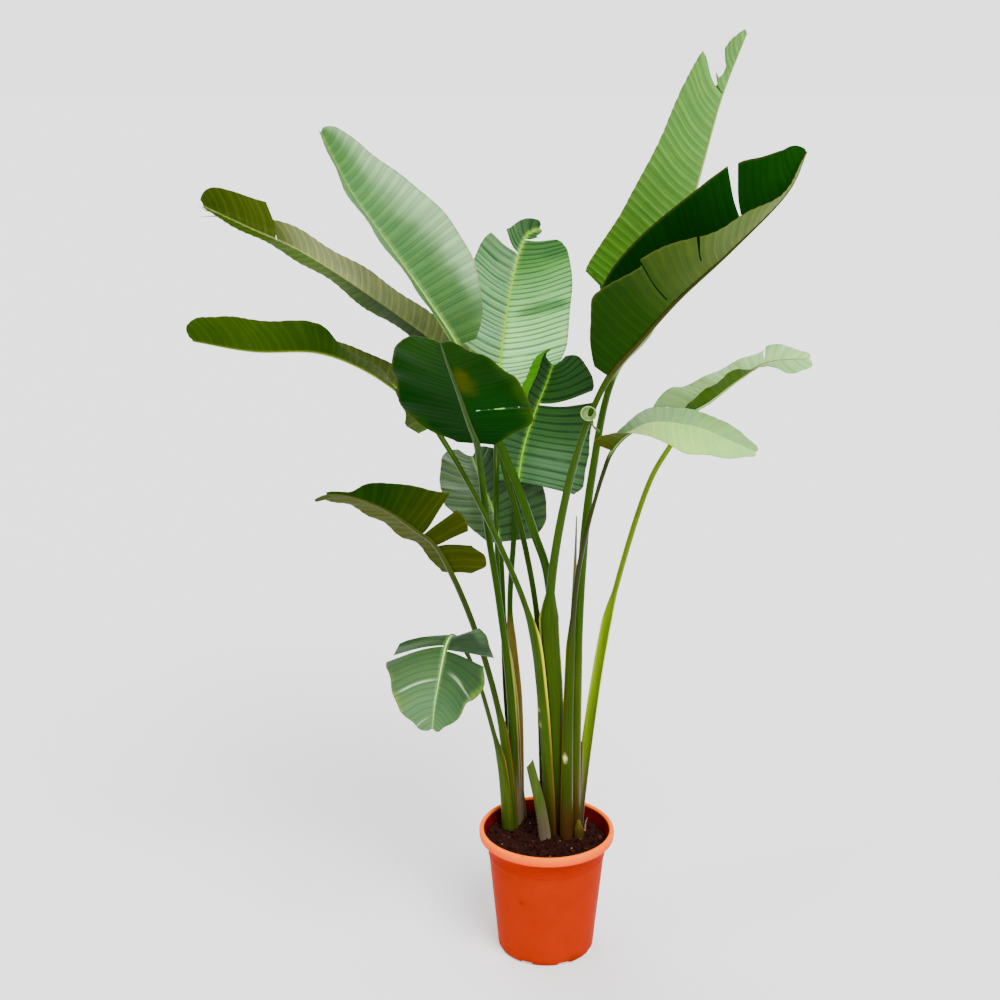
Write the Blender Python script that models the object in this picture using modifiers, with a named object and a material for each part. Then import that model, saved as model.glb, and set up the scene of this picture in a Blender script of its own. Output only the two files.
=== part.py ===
"""Potted bird of paradise: a plastic nursery pot of soil, with fans of long-stalked paddle leaves.

Metres, +Z up. The origin is the middle of the pot's flat underside, and the front faces -Y.
Each leaf is one grown piece: a sheath at its foot, a stalk, a midrib and a torn, folded blade.
"""
import math
from collections import namedtuple

import bmesh
import bpy
import numpy as np

# Pot and soil
POT_HEIGHT = 0.230
RIM_RADIUS = 0.120
LIP_HEIGHT = 0.017
NECK_RADIUS = 0.1025
GROOVE_HEIGHT = 0.181
GROOVE_DEPTH = 0.0012
BASE_RADIUS = 0.086
POT_WALL = 0.0028
POT_SIDES = 48
NOTCHES = 8
NOTCH = (0.014, 0.018, 0.005)
SOIL_LEVEL = 0.206
SOIL_RINGS = 6
SOIL_LUMP = 0.0022
FIT_GAP = 0.0004

# Leaves
BLADE_THICKNESS = 0.0010
FOOT_DEPTH = 0.024
COLLAR = 0.016
BLADE_STATIONS = 18
BLADE_COLUMNS = (0.0, 0.35, 0.7, 1.0)
STALK_RINGS = 12
SHOOT_RINGS = 9
CURVE_STEPS = 24
VEIN_STEPS = 42
TEAR_WIDTH = 0.003
RIB_TIP = 0.0012

# A tear runs in from the margin to root, a share of the half-width, at a share of the rib's length.
# gap is the angle it opens by, and lift how far the piece beyond it turns up, both in degrees.
Tear = namedtuple("Tear", "side at root gap lift")

# stalk and rib are points in metres, from the soil to the blade and from there to the tip.
# upper is the way the leaf's upper side faces at the foot, the blade's base and its tip.
# width, fold, curl and sweep are for the left and right halves, seen from above with the tip ahead.
# width pairs a share of the rib's length with the length of the vein line that starts there.
# fold and curl are in degrees, evenly spaced from the base to the tip: fold is the rise of the whole
# half towards the upper side, and curl how much more it has risen at the margin. sweep is how far
# the vein lines lean towards the tip, at even steps, or where two are given at the base and at the tip.
Leaf = namedtuple("Leaf", "stalk rib upper width fold curl sweep tears wave petiole sheath")

LEFT, RIGHT = 0, 1

LEAVES = {
    # centre fan
    "leaf_tall_right": Leaf(
        stalk=[(0.048, 0.032, 0.206), (0.050, 0.032, 0.460), (0.056, 0.036, 0.700),
               (0.070, 0.050, 0.860), (0.107, 0.062, 1.040)],
        rib=[(0.164, 0.072, 1.108), (0.203, 0.085, 1.220), (0.241, 0.100, 1.365), (0.274, 0.115, 1.487),
             (0.310, 0.120, 1.583)],
        upper=[(0.1, 1.0, 0.0), (-0.8, 0.35, 0.5), (-0.93, 0.10, 0.36)],
        width=[((0, 0.030), (0.08, 0.080), (0.18, 0.110), (0.4, 0.090), (0.6, 0.064), (0.78, 0.030),
                (0.84, 0.018), (1, 0.003)),
               ((0, 0.035), (0.06, 0.088), (0.16, 0.144), (0.4, 0.114), (0.58, 0.095), (0.825, 0.082),
                (0.835, 0.024), (0.875, 0.016), (0.89, 0.040), (0.97, 0.020), (1, 0.003))],
        fold=[(72, 72, 60), (68, 66, 55)], curl=[(10, 0, 0), (0, 0, 0)], sweep=[(10, 60), (12, 70)],
        tears=[Tear(RIGHT, 0.83, 0.0, 3, 0)], wave=0.002, petiole=0.0078, sheath=(0.012, 0.009, 0.56)),
    "leaf_trough_right": Leaf(
        stalk=[(0.020, 0.024, 0.206), (0.012, 0.012, 0.465), (0.002, -0.010, 0.660),
               (0.026, -0.028, 0.850), (0.062, -0.048, 0.990), (0.093, -0.060, 1.059)],
        rib=[(0.140, -0.072, 1.118), (0.195, -0.090, 1.185), (0.273, -0.118, 1.266), (0.353, -0.138, 1.358),
             (0.374, -0.145, 1.412)],
        upper=[(0.0, 1.0, 0.0), (-0.70, -0.05, 0.62), (-0.62, -0.30, 0.72)],
        width=[((0, 0.030), (0.12, 0.095), (0.25, 0.110), (0.42, 0.114), (0.67, 0.106), (0.78, 0.082),
                (0.9, 0.050), (1, 0.004)),
               ((0, 0.030), (0.08, 0.086), (0.17, 0.128), (0.33, 0.120), (0.34, 0.130), (0.5, 0.104),
                (0.62, 0.080), (0.75, 0.050), (0.9, 0.024), (1, 0.004))],
        fold=[(80, 70, 50), (72, 50, 28)], curl=[(0, 0, 0), (0, 0, 0)], sweep=[(15, 55), (10, 75)],
        tears=[Tear(LEFT, 0.68, 0.1, 5, 0), Tear(RIGHT, 0.335, 0.1, 0, 2), Tear(RIGHT, 0.5, 0.35, 1, 0)],
        wave=0.003, petiole=0.0078, sheath=(0.012, 0.018, 0.65)),
    "leaf_small_right": Leaf(
        stalk=[(0.036, 0.004, 0.206), (0.037, 0.004, 0.470), (0.045, 0.000, 0.675),
               (0.060, 0.004, 0.770), (0.088, 0.006, 0.880), (0.103, 0.000, 0.921)],
        rib=[(0.129, -0.010, 0.952), (0.166, -0.020, 0.972), (0.235, -0.035, 0.969), (0.283, -0.045, 0.953),
             (0.331, -0.055, 0.933)],
        upper=[(-0.2, 1.0, 0.0), (-0.5, -0.25, 0.6), (0.1, -0.30, 0.95)],
        width=[((0, 0.014), (0.12, 0.024), (0.35, 0.048), (0.65, 0.052), (0.85, 0.036), (1, 0.004)),
               ((0, 0.038), (0.1, 0.046), (0.25, 0.048), (0.5, 0.062), (0.75, 0.047), (0.9, 0.026), (1, 0.004))],
        fold=[(10, -6, -8, -6, 0), (85, 20, -12, -12, -8)], curl=[(0, 0, 0), (0, 0, 0)],
        sweep=[(-30, 60), (0, 60)], tears=[],
        wave=0.0015, petiole=0.0052, sheath=(0.012, 0.008, 0.60)),
    "leaf_large_left": Leaf(
        stalk=[(0.026, 0.038, 0.206), (0.016, 0.036, 0.455), (-0.003, 0.018, 0.700),
               (-0.024, 0.002, 0.772), (-0.055, -0.006, 0.865), (-0.100, -0.006, 0.970), (-0.152, 0.005, 1.092)],
        rib=[(-0.201, 0.020, 1.165), (-0.263, 0.032, 1.251), (-0.324, 0.042, 1.335), (-0.374, 0.051, 1.430)],
        upper=[(0.0, -1.0, 0.0), (0.75, -0.60, 0.5), (0.75, -0.60, 0.5)],
        width=[((0, 0.025), (0.2, 0.085), (0.42, 0.092), (0.58, 0.080), (0.75, 0.058), (0.9, 0.033), (1, 0.006)),
               ((0, 0.028), (0.08, 0.062), (0.2, 0.090), (0.3, 0.105), (0.42, 0.108), (0.58, 0.095),
                (0.75, 0.070), (0.9, 0.044), (1, 0.008))],
        fold=[(40, 38, 40), (30, 30, 30)], curl=[(0, 0, 0), (0, 0, 0)], sweep=[(15, 60), (-10, 45)], tears=[],
        wave=0.002, petiole=0.0074, sheath=(0.012, 0.008, 0.60)),
    "leaf_long_left": Leaf(
        stalk=[(0.000, 0.031, 0.206), (-0.010, 0.034, 0.455), (-0.020, 0.030, 0.620),
               (-0.045, 0.035, 0.760), (-0.075, 0.040, 0.870), (-0.118, 0.045, 1.036)],
        rib=[(-0.168, 0.045, 1.073), (-0.282, 0.043, 1.156), (-0.410, 0.032, 1.242), (-0.488, 0.022, 1.279),
             (-0.560, 0.010, 1.315)],
        upper=[(0.2, -1.0, 0.0), (0.35, -0.30, 0.9), (0.35, -0.30, 0.9)],
        width=[((0, 0.012), (0.1, 0.034), (0.4, 0.060), (0.7, 0.050), (0.9, 0.025), (1, 0.004)),
               ((0, 0.025), (0.1, 0.050), (0.35, 0.066), (0.75, 0.066), (0.9, 0.058), (1, 0.012))],
        fold=[(10, 10, 10), (6, 2, 2)], curl=[(0, 0, 0), (0, 0, 0)], sweep=[(0, 60), (10, 60)],
        tears=[Tear(RIGHT, 0.76, 0.0, 0, 50)], wave=0.003, petiole=0.0052, sheath=(0.012, 0.008, 0.60)),
    "leaf_low_left": Leaf(
        stalk=[(0.006, 0.014, 0.206), (-0.010, 0.004, 0.470), (-0.030, -0.010, 0.620),
               (-0.080, -0.026, 0.760), (-0.140, -0.026, 0.883), (-0.191, -0.004, 0.961)],
        rib=[(-0.214, 0.002, 0.993), (-0.250, 0.002, 1.018), (-0.293, -0.002, 1.048), (-0.342, -0.014, 1.074),
             (-0.386, -0.024, 1.087), (-0.480, -0.040, 1.090), (-0.574, -0.052, 1.108)],
        upper=[(0.5, 0.85, 0.0), (0.4, -0.1, 0.9), (0.1, -0.1, 1.0)],
        width=[((0, 0.030), (0.07, 0.052), (0.2, 0.040), (0.38, 0.031), (0.45, 0.034), (0.52, 0.064),
                (0.6, 0.074), (0.75, 0.080), (0.88, 0.072), (0.96, 0.046), (1, 0.010)),
               ((0, 0.030), (0.08, 0.040), (0.3, 0.038), (0.45, 0.030), (0.6, 0.040), (0.85, 0.045), (1, 0.008))],
        fold=[(-46, 30, 62, 65, 60), (30, 30, 30, 50, 50)], curl=[(0, 0, 0), (0, 0, 0)],
        sweep=[(5, 50), (5, 50)], tears=[],
        wave=0.003, petiole=0.0062, sheath=(0.012, 0.010, 0.62)),
    # left fan
    "leaf_front": Leaf(
        stalk=[(-0.058, 0.046, 0.206), (-0.065, 0.030, 0.460), (-0.085, 0.014, 0.650),
               (-0.102, 0.004, 0.770), (-0.114, -0.025, 0.895), (-0.118, -0.060, 0.944)],
        rib=[(-0.129, -0.105, 0.991), (-0.142, -0.165, 1.053), (-0.153, -0.220, 1.104), (-0.160, -0.270, 1.146)],
        upper=[(0.3, 0.95, 0.0), (0.1, 0.6, 0.75), (0.1, 0.7, 0.7)],
        width=[((0, 0.025), (0.1, 0.060), (0.25, 0.100), (0.35, 0.100), (0.6, 0.082), (0.8, 0.050),
                (0.93, 0.026), (1, 0.008)),
               ((0, 0.030), (0.1, 0.072), (0.25, 0.108), (0.5, 0.105), (0.75, 0.086), (0.9, 0.056), (1, 0.012))],
        fold=[(5, 12, 10), (5, 12, 10)], curl=[(0, 0, 0), (0, 0, 0)], sweep=[(-15, 30), (-5, 45)],
        tears=[Tear(LEFT, 0.32, 0.1, 2, 0)], wave=0.004, petiole=0.0060, sheath=(0.012, 0.007, 0.56)),
    "leaf_centre_tall": Leaf(
        stalk=[(-0.055, 0.056, 0.206), (-0.062, 0.052, 0.450), (-0.085, 0.045, 0.640),
               (-0.090, 0.054, 0.770), (-0.092, 0.085, 0.875), (-0.094, 0.165, 0.945)],
        rib=[(-0.093, 0.200, 0.990), (-0.085, 0.225, 1.063), (-0.072, 0.255, 1.148), (-0.057, 0.285, 1.213),
             (-0.042, 0.299, 1.242), (-0.021, 0.304, 1.251)],
        upper=[(0.3, 0.95, 0.0), (0.05, -0.85, 0.5), (0.05, -0.85, 0.5)],
        width=[((0, 0.040), (0.1, 0.075), (0.4, 0.090), (0.7, 0.078), (0.815, 0.062), (0.825, 0.048),
                (0.95, 0.024), (1, 0.006)),
               ((0, 0.040), (0.1, 0.090), (0.3, 0.118), (0.55, 0.115), (0.75, 0.096), (0.895, 0.056),
                (0.905, 0.022), (1, 0.004))],
        fold=[(12, 12, 12), (10, 8, 8)], curl=[(0, 0, 0), (0, 0, 0)], sweep=[(22, 46), (20, 38)],
        tears=[Tear(LEFT, 0.82, 0.0, 14, 8), Tear(RIGHT, 0.90, 0.0, 6, 0)],
        wave=0.003, petiole=0.0050, sheath=(0.012, 0.007, 0.56)),
    "leaf_centre_folded": Leaf(
        stalk=[(-0.053, 0.066, 0.206), (-0.055, 0.078, 0.435), (-0.068, 0.084, 0.600),
               (-0.062, 0.094, 0.735), (-0.055, 0.118, 0.832)],
        rib=[(-0.044, 0.132, 0.897), (-0.025, 0.145, 0.955), (-0.008, 0.157, 0.997), (0.004, 0.165, 1.031)],
        upper=[(0.3, -0.95, 0.0), (-0.1, -0.85, 0.5), (-0.1, -0.85, 0.5)],
        width=[((0, 0.040), (0.3, 0.042), (0.5, 0.052), (0.62, 0.060), (0.75, 0.066), (0.9, 0.062), (1, 0.036)),
               ((0, 0.100), (0.08, 0.115), (0.25, 0.116), (0.5, 0.108), (0.655, 0.098), (0.665, 0.100),
                (0.85, 0.076), (1, 0.026))],
        fold=[(25, 20, 20), (10, 8, 8)], curl=[(0, 0, 0), (0, 0, 0)], sweep=[(-5, 50), (-6, 68)],
        tears=[Tear(RIGHT, 0.66, 0.0, 6, 0), Tear(LEFT, 0.56, 0.5, 0, 150)], wave=0.003, petiole=0.0050, sheath=(0.012, 0.008, 0.58)),
    "leaf_centre_low": Leaf(
        stalk=[(-0.048, 0.076, 0.206), (-0.071, 0.088, 0.433), (-0.079, 0.095, 0.584),
               (-0.083, 0.105, 0.674), (-0.087, 0.110, 0.724)],
        rib=[(-0.099, 0.125, 0.778), (-0.120, 0.145, 0.824), (-0.138, 0.165, 0.866)],
        upper=[(0.2, -1.0, 0.0), (-0.1, -0.85, 0.5), (-0.1, -0.85, 0.5)],
        width=[((0, 0.018), (0.15, 0.045), (0.45, 0.084), (0.8, 0.070), (1, 0.026)),
               ((0, 0.060), (0.15, 0.088), (0.35, 0.096), (0.6, 0.080), (0.85, 0.045), (1, 0.010))],
        fold=[(25, 25, 25), (10, 8, 8)], curl=[(0, 0, 0), (0, 0, 0)], sweep=[(10, 55), (0, 55)], tears=[],
        wave=0.003, petiole=0.0044, sheath=(0.012, 0.007, 0.56)),
    "leaf_torn_left": Leaf(
        stalk=[(-0.063, 0.036, 0.206), (-0.074, 0.030, 0.360), (-0.090, 0.024, 0.460),
               (-0.125, 0.000, 0.600), (-0.163, -0.030, 0.713)],
        rib=[(-0.192, -0.044, 0.770), (-0.218, -0.055, 0.794), (-0.267, -0.075, 0.836), (-0.325, -0.100, 0.866),
             (-0.358, -0.108, 0.871)],
        upper=[(0.3, 0.95, 0.0), (0.35, 0.70, 0.5), (0.2, 0.75, 0.6)],
        width=[((0, 0.030), (0.06, 0.062), (0.14, 0.068), (0.205, 0.056), (0.215, 0.060), (0.27, 0.068),
                (0.325, 0.070), (0.335, 0.088), (0.5, 0.062), (0.68, 0.044), (0.78, 0.028), (0.86, 0.010), (1, 0.003)),
               ((0, 0.024), (0.15, 0.046), (0.4, 0.072), (0.7, 0.074), (0.9, 0.060), (0.97, 0.046), (1, 0.012))],
        fold=[(22, 27, 42, 30, 15), (15, 15, 15)], curl=[(0, 0, 0), (0, 0, 0)], sweep=[(-21, 55), (-8, 42)],
        tears=[Tear(LEFT, 0.21, 0.0, 15, 0), Tear(LEFT, 0.33, 0.0, 12, 0)],
        wave=0.003, petiole=0.0058, sheath=(0.012, 0.008, 0.42)),
    "leaf_hanging_left": Leaf(
        stalk=[(-0.070, 0.026, 0.206), (-0.080, 0.012, 0.335), (-0.095, -0.008, 0.420),
               (-0.130, -0.042, 0.560), (-0.156, -0.058, 0.610), (-0.163, -0.070, 0.615)],
        rib=[(-0.170, -0.084, 0.604), (-0.175, -0.099, 0.583), (-0.182, -0.112, 0.545), (-0.188, -0.118, 0.509),
             (-0.192, -0.118, 0.468)],
        upper=[(0.3, 0.95, 0.0), (0.1, -0.6, 0.8), (0.0, -1.0, 0.1)],
        width=[((0, 0.060), (0.05, 0.088), (0.165, 0.086), (0.175, 0.072), (0.26, 0.082), (0.45, 0.062),
                (0.62, 0.055), (0.77, 0.038), (0.89, 0.023), (1, 0.006)),
               ((0, 0.052), (0.04, 0.090), (0.125, 0.092), (0.135, 0.104), (0.24, 0.094), (0.42, 0.084),
                (0.63, 0.066), (0.81, 0.040), (1, 0.006))],
        fold=[(50, 5, -5, 0, 0), (-32, -12, -5, 0, 0)], curl=[(0, 0, 0), (0, 0, 0)], sweep=[(0, 10, 44, 46, 48, 50, 52), (18, 30, 34, 38, 42, 46, 50)],
        tears=[Tear(LEFT, 0.17, 0.0, 6, 0), Tear(RIGHT, 0.13, 0.0, 2, 0)],
        wave=0.003, petiole=0.0046, sheath=(0.012, 0.008, 0.38)),
    # right stem
    "leaf_arched_right": Leaf(
        stalk=[(0.058, 0.068, 0.206), (0.072, 0.074, 0.355), (0.095, 0.078, 0.535),
               (0.115, 0.078, 0.645), (0.173, 0.082, 0.850), (0.208, 0.085, 0.914), (0.234, 0.085, 0.963)],
        rib=[(0.266, 0.080, 0.985), (0.315, 0.070, 1.027), (0.359, 0.060, 1.057), (0.427, 0.050, 1.066)],
        upper=[(-0.6, -0.8, 0.0), (-0.35, -0.35, 0.85), (-0.2, -0.35, 0.9)],
        width=[((0, 0.060), (0.1, 0.060), (0.3, 0.050), (0.67, 0.030), (0.69, 0.036), (0.9, 0.022), (1, 0.004)),
               ((0, 0.020), (0.1, 0.034), (0.4, 0.040), (0.6, 0.032), (0.75, 0.040), (0.9, 0.032), (1, 0.004))],
        fold=[(55, 24, 12, 10, 10), (65, 65, 55, -5, -10)], curl=[(0, 0, 0), (0, 0, 0)],
        sweep=[(-45, 55), (0, 55)], tears=[Tear(LEFT, 0.68, 0.35, 2, 8)],
        wave=0.003, petiole=0.0054, sheath=(0.012, 0.010, 0.62)),
}

# A shoot without a blade. widths and thicknesses are halves, at each point of its path, and slant
# is how far its cut end rises from one side to the other.
Shoot = namedtuple("Shoot", "path upper widths thicknesses slant colour")

SHOOTS = {
    "spear": Shoot(
        path=[(0.036, 0.052, 0.206), (0.036, 0.049, 0.420), (0.041, 0.036, 0.600), (0.0445, 0.024, 0.710),
              (0.046, 0.020, 0.800)],
        upper=(0.0, 1.0, 0.0), widths=(0.0050, 0.0045, 0.0038, 0.0028, 0.0010),
        thicknesses=(0.0036, 0.0034, 0.0030, 0.0024, 0.0010), slant=0.0, colour=(0.16, 0.17, 0.12)),
    "old_sheath": Shoot(
        path=[(0.049, 0.056, 0.206), (0.056, 0.061, 0.290), (0.062, 0.064, 0.365)],
        upper=(-0.6, -0.8, 0.0), widths=(0.0100, 0.0085, 0.0020), thicknesses=(0.0026, 0.0022, 0.0010),
        slant=0.0, colour=(0.16, 0.12, 0.07)),
    "cut_stub": Shoot(
        path=[(-0.003, -0.005, 0.206), (-0.013, -0.004, 0.275), (-0.031, -0.002, 0.352)],
        upper=(0.2, 1.0, 0.0), widths=(0.0115, 0.0100, 0.0078), thicknesses=(0.0046, 0.0046, 0.0042),
        slant=-0.014, colour=(0.12, 0.13, 0.04)),
    "sprout": Shoot(
        path=[(0.0575, 0.006, 0.206), (0.0580, 0.006, 0.222), (0.0560, 0.007, 0.240)],
        upper=(0.2, 1.0, 0.0), widths=(0.0080, 0.0085, 0.0020), thicknesses=(0.0040, 0.0042, 0.0012),
        slant=0.0, colour=(0.16, 0.14, 0.03)),
}


# ---------------------------------------------------------------- leaf form

def unit(v):
    return v / np.linalg.norm(v, axis=-1, keepdims=True)


def curve_through(points):
    """A centripetal Catmull-Rom curve through the points, with CURVE_STEPS samples to a span."""
    p = np.array(points, float)
    p = np.vstack([2 * p[0] - p[1], p, 2 * p[-1] - p[-2]])
    knots = np.concatenate([[0.0], np.cumsum(np.sqrt(np.linalg.norm(np.diff(p, axis=0), axis=1)))])
    samples = []
    for i in range(1, len(p) - 2):
        t0, t1, t2, t3 = knots[i - 1:i + 3]
        t = np.linspace(t1, t2, CURVE_STEPS, endpoint=False)[:, None]
        a1 = ((t1 - t) * p[i - 1] + (t - t0) * p[i]) / (t1 - t0)
        a2 = ((t2 - t) * p[i] + (t - t1) * p[i + 1]) / (t2 - t1)
        a3 = ((t3 - t) * p[i + 1] + (t - t2) * p[i + 2]) / (t3 - t2)
        b1 = ((t2 - t) * a1 + (t - t0) * a2) / (t2 - t0)
        b2 = ((t3 - t) * a2 + (t - t1) * a3) / (t3 - t1)
        samples.append(((t2 - t) * b1 + (t - t1) * b2) / (t2 - t1))
    return np.vstack(samples + [p[-2:-1]])


class Axis:
    """The line of a leaf from its buried foot to its tip, with a frame at each place along it."""

    def __init__(self, leaf):
        foot = np.array(leaf.stalk[0]) - (0, 0, FOOT_DEPTH)
        self.line = curve_through([foot] + leaf.stalk + leaf.rib)
        self.length = np.concatenate([[0.0], np.cumsum(np.linalg.norm(np.diff(self.line, axis=0), axis=1))])
        self.base = self.length[CURVE_STEPS * len(leaf.stalk)]
        self.tip = self.length[-1]
        self.soil = self.length[CURVE_STEPS]
        self.upper = np.array(leaf.upper, float)

    def at(self, s):
        """Place, forward, upper and right-hand directions at the distance s from the foot."""
        place = np.array([np.interp(s, self.length, self.line[:, k]) for k in range(3)]).T
        step = 0.004
        ahead = np.array([np.interp(np.minimum(s + step, self.tip), self.length, self.line[:, k])
                          for k in range(3)]).T
        behind = np.array([np.interp(np.maximum(s - step, 0.0), self.length, self.line[:, k])
                           for k in range(3)]).T
        forward = unit(ahead - behind)
        on_stalk = np.clip(s / self.base, 0, 1)[:, None]
        on_rib = np.clip((s - self.base) / (self.tip - self.base), 0, 1)[:, None]
        hint = np.where(on_rib > 0, self.upper[1] + (self.upper[2] - self.upper[1]) * on_rib,
                        self.upper[0] + (self.upper[1] - self.upper[0]) * on_stalk ** 2)
        upper = unit(hint - np.sum(hint * forward, axis=1)[:, None] * forward)
        return place, forward, upper, np.cross(forward, upper)


def smooth_through(pairs, u):
    """A smooth line through pairs of share and value that doesn't overshoot them, read at the shares u."""
    x, y = np.array(pairs, float).T
    run = np.diff(x)
    steep = np.diff(y) / run
    turning = steep[:-1] * steep[1:] <= 0
    slope = np.zeros(len(x))
    slope[1:-1] = 2 * steep[:-1] * steep[1:] / np.where(turning, 1.0, steep[:-1] + steep[1:])
    slope[1:-1][turning] = 0.0
    slope[0], slope[-1] = steep[0], 2 * steep[-1]
    i = np.clip(np.searchsorted(x, u) - 1, 0, len(run) - 1)
    t = (u - x[i]) / run[i]
    return (y[i] * (1 + 2 * t) * (1 - t) ** 2 + slope[i] * run[i] * t * (1 - t) ** 2
            + y[i + 1] * t ** 2 * (3 - 2 * t) + slope[i + 1] * run[i] * t ** 2 * (t - 1))


def stations(leaf, count):
    """Shares of the rib's length where vein lines start: evenly spread, and one each side of a tear."""
    spread = 1 - (1 - np.arange(count + 1) / count) ** 1.2
    half = 0.5 * TEAR_WIDTH / rib_length(leaf)
    cuts = sorted({tear.at for tear in leaf.tears})
    kept = [u for u in spread if all(abs(u - cut) > 0.4 / count for cut in cuts)]
    return np.array(sorted(kept + [cut + side * half for cut in cuts for side in (-1, 1)]))


def rib_length(leaf):
    return float(np.sum(np.linalg.norm(np.diff(np.array(leaf.rib), axis=0), axis=1)))


def along(values, u):
    """A value given at even steps from the base to the tip, read at the share u."""
    return np.interp(u, np.linspace(0, 1, len(values)), values)


def half_blade(leaf, side, place, forward, upper, right, reach, us, columns):
    """Middle surface of one half, and its upper normals, as arrays of station by column."""
    out = right if side == RIGHT else -right
    tears = sorted((t for t in leaf.tears if t.side == side), key=lambda t: t.at)
    width = smooth_through(leaf.width[side], us)
    sweep = along(leaf.sweep[side], us ** 1.5 if len(leaf.sweep[side]) == 2 else us)
    fold, curl = along(leaf.fold[side], us), along(leaf.curl[side], us)
    root = np.interp(us, [t.at for t in tears], [t.root for t in tears]) if tears else np.ones_like(us)
    lift = np.zeros_like(us)
    opening = np.zeros_like(us)
    for tear in tears:
        lift = np.where(us > tear.at, tear.lift, lift)
        away = np.exp(-np.abs(us - tear.at) / 0.12)
        opening += np.sign(us - tear.at) * tear.gap * away
    points = np.zeros((len(us), len(columns), 3))
    normals = np.zeros_like(points)
    spot = place + out * reach[:, None] * 0.8 + upper * reach[:, None] * 0.2
    points[:, 0], normals[:, 0] = spot, upper
    v = 0.0
    dv = 1.0 / VEIN_STEPS
    column = 1
    for _ in range(VEIN_STEPS):
        v += dv
        free = np.clip((v - root) / 0.3, 0, 1)
        rise = np.radians(fold + curl * v + lift * free)
        lean = np.radians(sweep * min(1.0, 0.35 + v) + opening * free)
        outward = np.cos(rise)[:, None] * out + np.sin(rise)[:, None] * upper
        spot = spot + (width * dv)[:, None] * (np.cos(lean)[:, None] * outward + np.sin(lean)[:, None] * forward)
        if column < len(columns) and v >= columns[column] - 1e-9 - dv / 2:
            normal = np.cos(rise)[:, None] * upper - np.sin(rise)[:, None] * out
            ripple = leaf.wave * v ** 2 * np.sin(2 * math.pi * (4.3 * us + 0.37 * side + len(tears)))
            ripple = ripple * np.sin(math.pi * np.clip(us, 0, 1)) ** 0.5
            points[:, column] = spot + normal * ripple[:, None]
            normals[:, column] = normal
            column += 1
    return points, normals


def stalk_section(leaf, z):
    """Half-width and half-thickness of the sheath and stalk at the heights z."""
    foot, top, end = leaf.sheath
    rise = np.clip((z - SOIL_LEVEL) / (end - SOIL_LEVEL), 0, 1)
    sheath = foot + (top - foot) * rise
    narrowing = np.clip((z - end) / 0.05 + 0.5, 0, 1)
    half_width = sheath + (leaf.petiole - sheath) * narrowing
    half_thick = 0.0040 + (leaf.petiole - 0.0040) * np.clip(rise, 0, 1)
    return half_width, half_thick


def section_ring(place, upper, right, half_width, half_thick):
    """Six corners of the stalk or midrib: upper left and right, right, lower right and left, left."""
    corners = [(-0.6, 0.5), (0.6, 0.5), (1.0, -0.05), (0.5, -0.95), (-0.5, -0.95), (-1.0, -0.05)]
    return np.stack([place + right * (x * half_width)[:, None] + upper * (y * half_thick)[:, None]
                     for x, y in corners], axis=1)


def leaf_mesh(leaf):
    """Vertices and triangles of one whole leaf, as a closed body."""
    axis = Axis(leaf)
    us = stations(leaf, BLADE_STATIONS)
    stalk_s = np.concatenate([[0.0, axis.soil, axis.soil + COLLAR],
                              np.linspace(axis.soil, axis.base, STALK_RINGS)[1:-1]])
    s = np.concatenate([stalk_s, axis.base + us * (axis.tip - axis.base)])
    place, forward, upper, right = axis.at(s)
    width, thick = stalk_section(leaf, place[:, 2])
    first = len(stalk_s)
    taper = 1 - us ** 0.8
    width[first:] = RIB_TIP + (leaf.petiole - RIB_TIP) * taper
    thick[first:] = RIB_TIP + (leaf.petiole - RIB_TIP) * taper
    rings = section_ring(place, upper, right, width, thick)
    verts = list(rings.reshape(-1, 3))
    faces = []

    def ring(i, corner):
        return i * 6 + corner % 6

    def quad(a, b, c, d):
        faces.extend([(a, b, c), (a, c, d)])

    sheets = {}
    for side, top_corner, low_corner in ((LEFT, 0, 5), (RIGHT, 1, 2)):
        frame = [a[first:] for a in (place, forward, upper, right)]
        points, normals = half_blade(leaf, side, *frame, width[first:], us, BLADE_COLUMNS)
        index = np.zeros((2, len(us), len(BLADE_COLUMNS)), int)
        index[0, :, 0] = [ring(first + i, top_corner) for i in range(len(us))]
        index[1, :, 0] = [ring(first + i, low_corner) for i in range(len(us))]
        for i in range(len(us)):
            for j in range(1, len(BLADE_COLUMNS)):
                for face, sign in ((0, 0.5), (1, -0.5)):
                    index[face, i, j] = len(verts)
                    verts.append(points[i, j] + normals[i, j] * (sign * BLADE_THICKNESS))
        cells = np.ones((len(us) - 1, len(BLADE_COLUMNS) - 1), bool)
        for tear in (t for t in leaf.tears if t.side == side):
            i = int(np.searchsorted(us, tear.at)) - 1
            cells[i, [k for k, v in enumerate(BLADE_COLUMNS[:-1]) if v >= tear.root - 1e-6]] = False
        sheets[side] = (index, cells)

    for i in range(len(s) - 1):
        for corner in range(6):
            side = {5: LEFT, 1: RIGHT}.get(corner)
            if side is not None and i >= first and sheets[side][1][i - first, 0]:
                continue
            quad(ring(i, corner), ring(i, corner + 1), ring(i + 1, corner + 1), ring(i + 1, corner))
    for end in (0, len(s) - 1):
        for corner in range(1, 5):
            faces.append((ring(end, 0), ring(end, corner), ring(end, corner + 1)))

    for index, cells in sheets.values():
        rows, cols = cells.shape
        for i in range(rows):
            for j in range(cols):
                if not cells[i, j]:
                    continue
                for face in (0, 1):
                    g = index[face]
                    quad(g[i, j], g[i, j + 1], g[i + 1, j + 1], g[i + 1, j])
                edges = {(-1, 0): ((i, j), (i, j + 1)), (1, 0): ((i + 1, j), (i + 1, j + 1)),
                         (0, 1): ((i, j + 1), (i + 1, j + 1)), (0, -1): ((i, j), (i + 1, j))}
                for (di, dj), (a, b) in edges.items():
                    beside = 0 <= i + di < rows and 0 <= j + dj < cols and cells[i + di, j + dj]
                    if not beside and j + dj >= 0:
                        quad(index[0][a], index[0][b], index[1][b], index[1][a])
    return verts, faces


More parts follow.
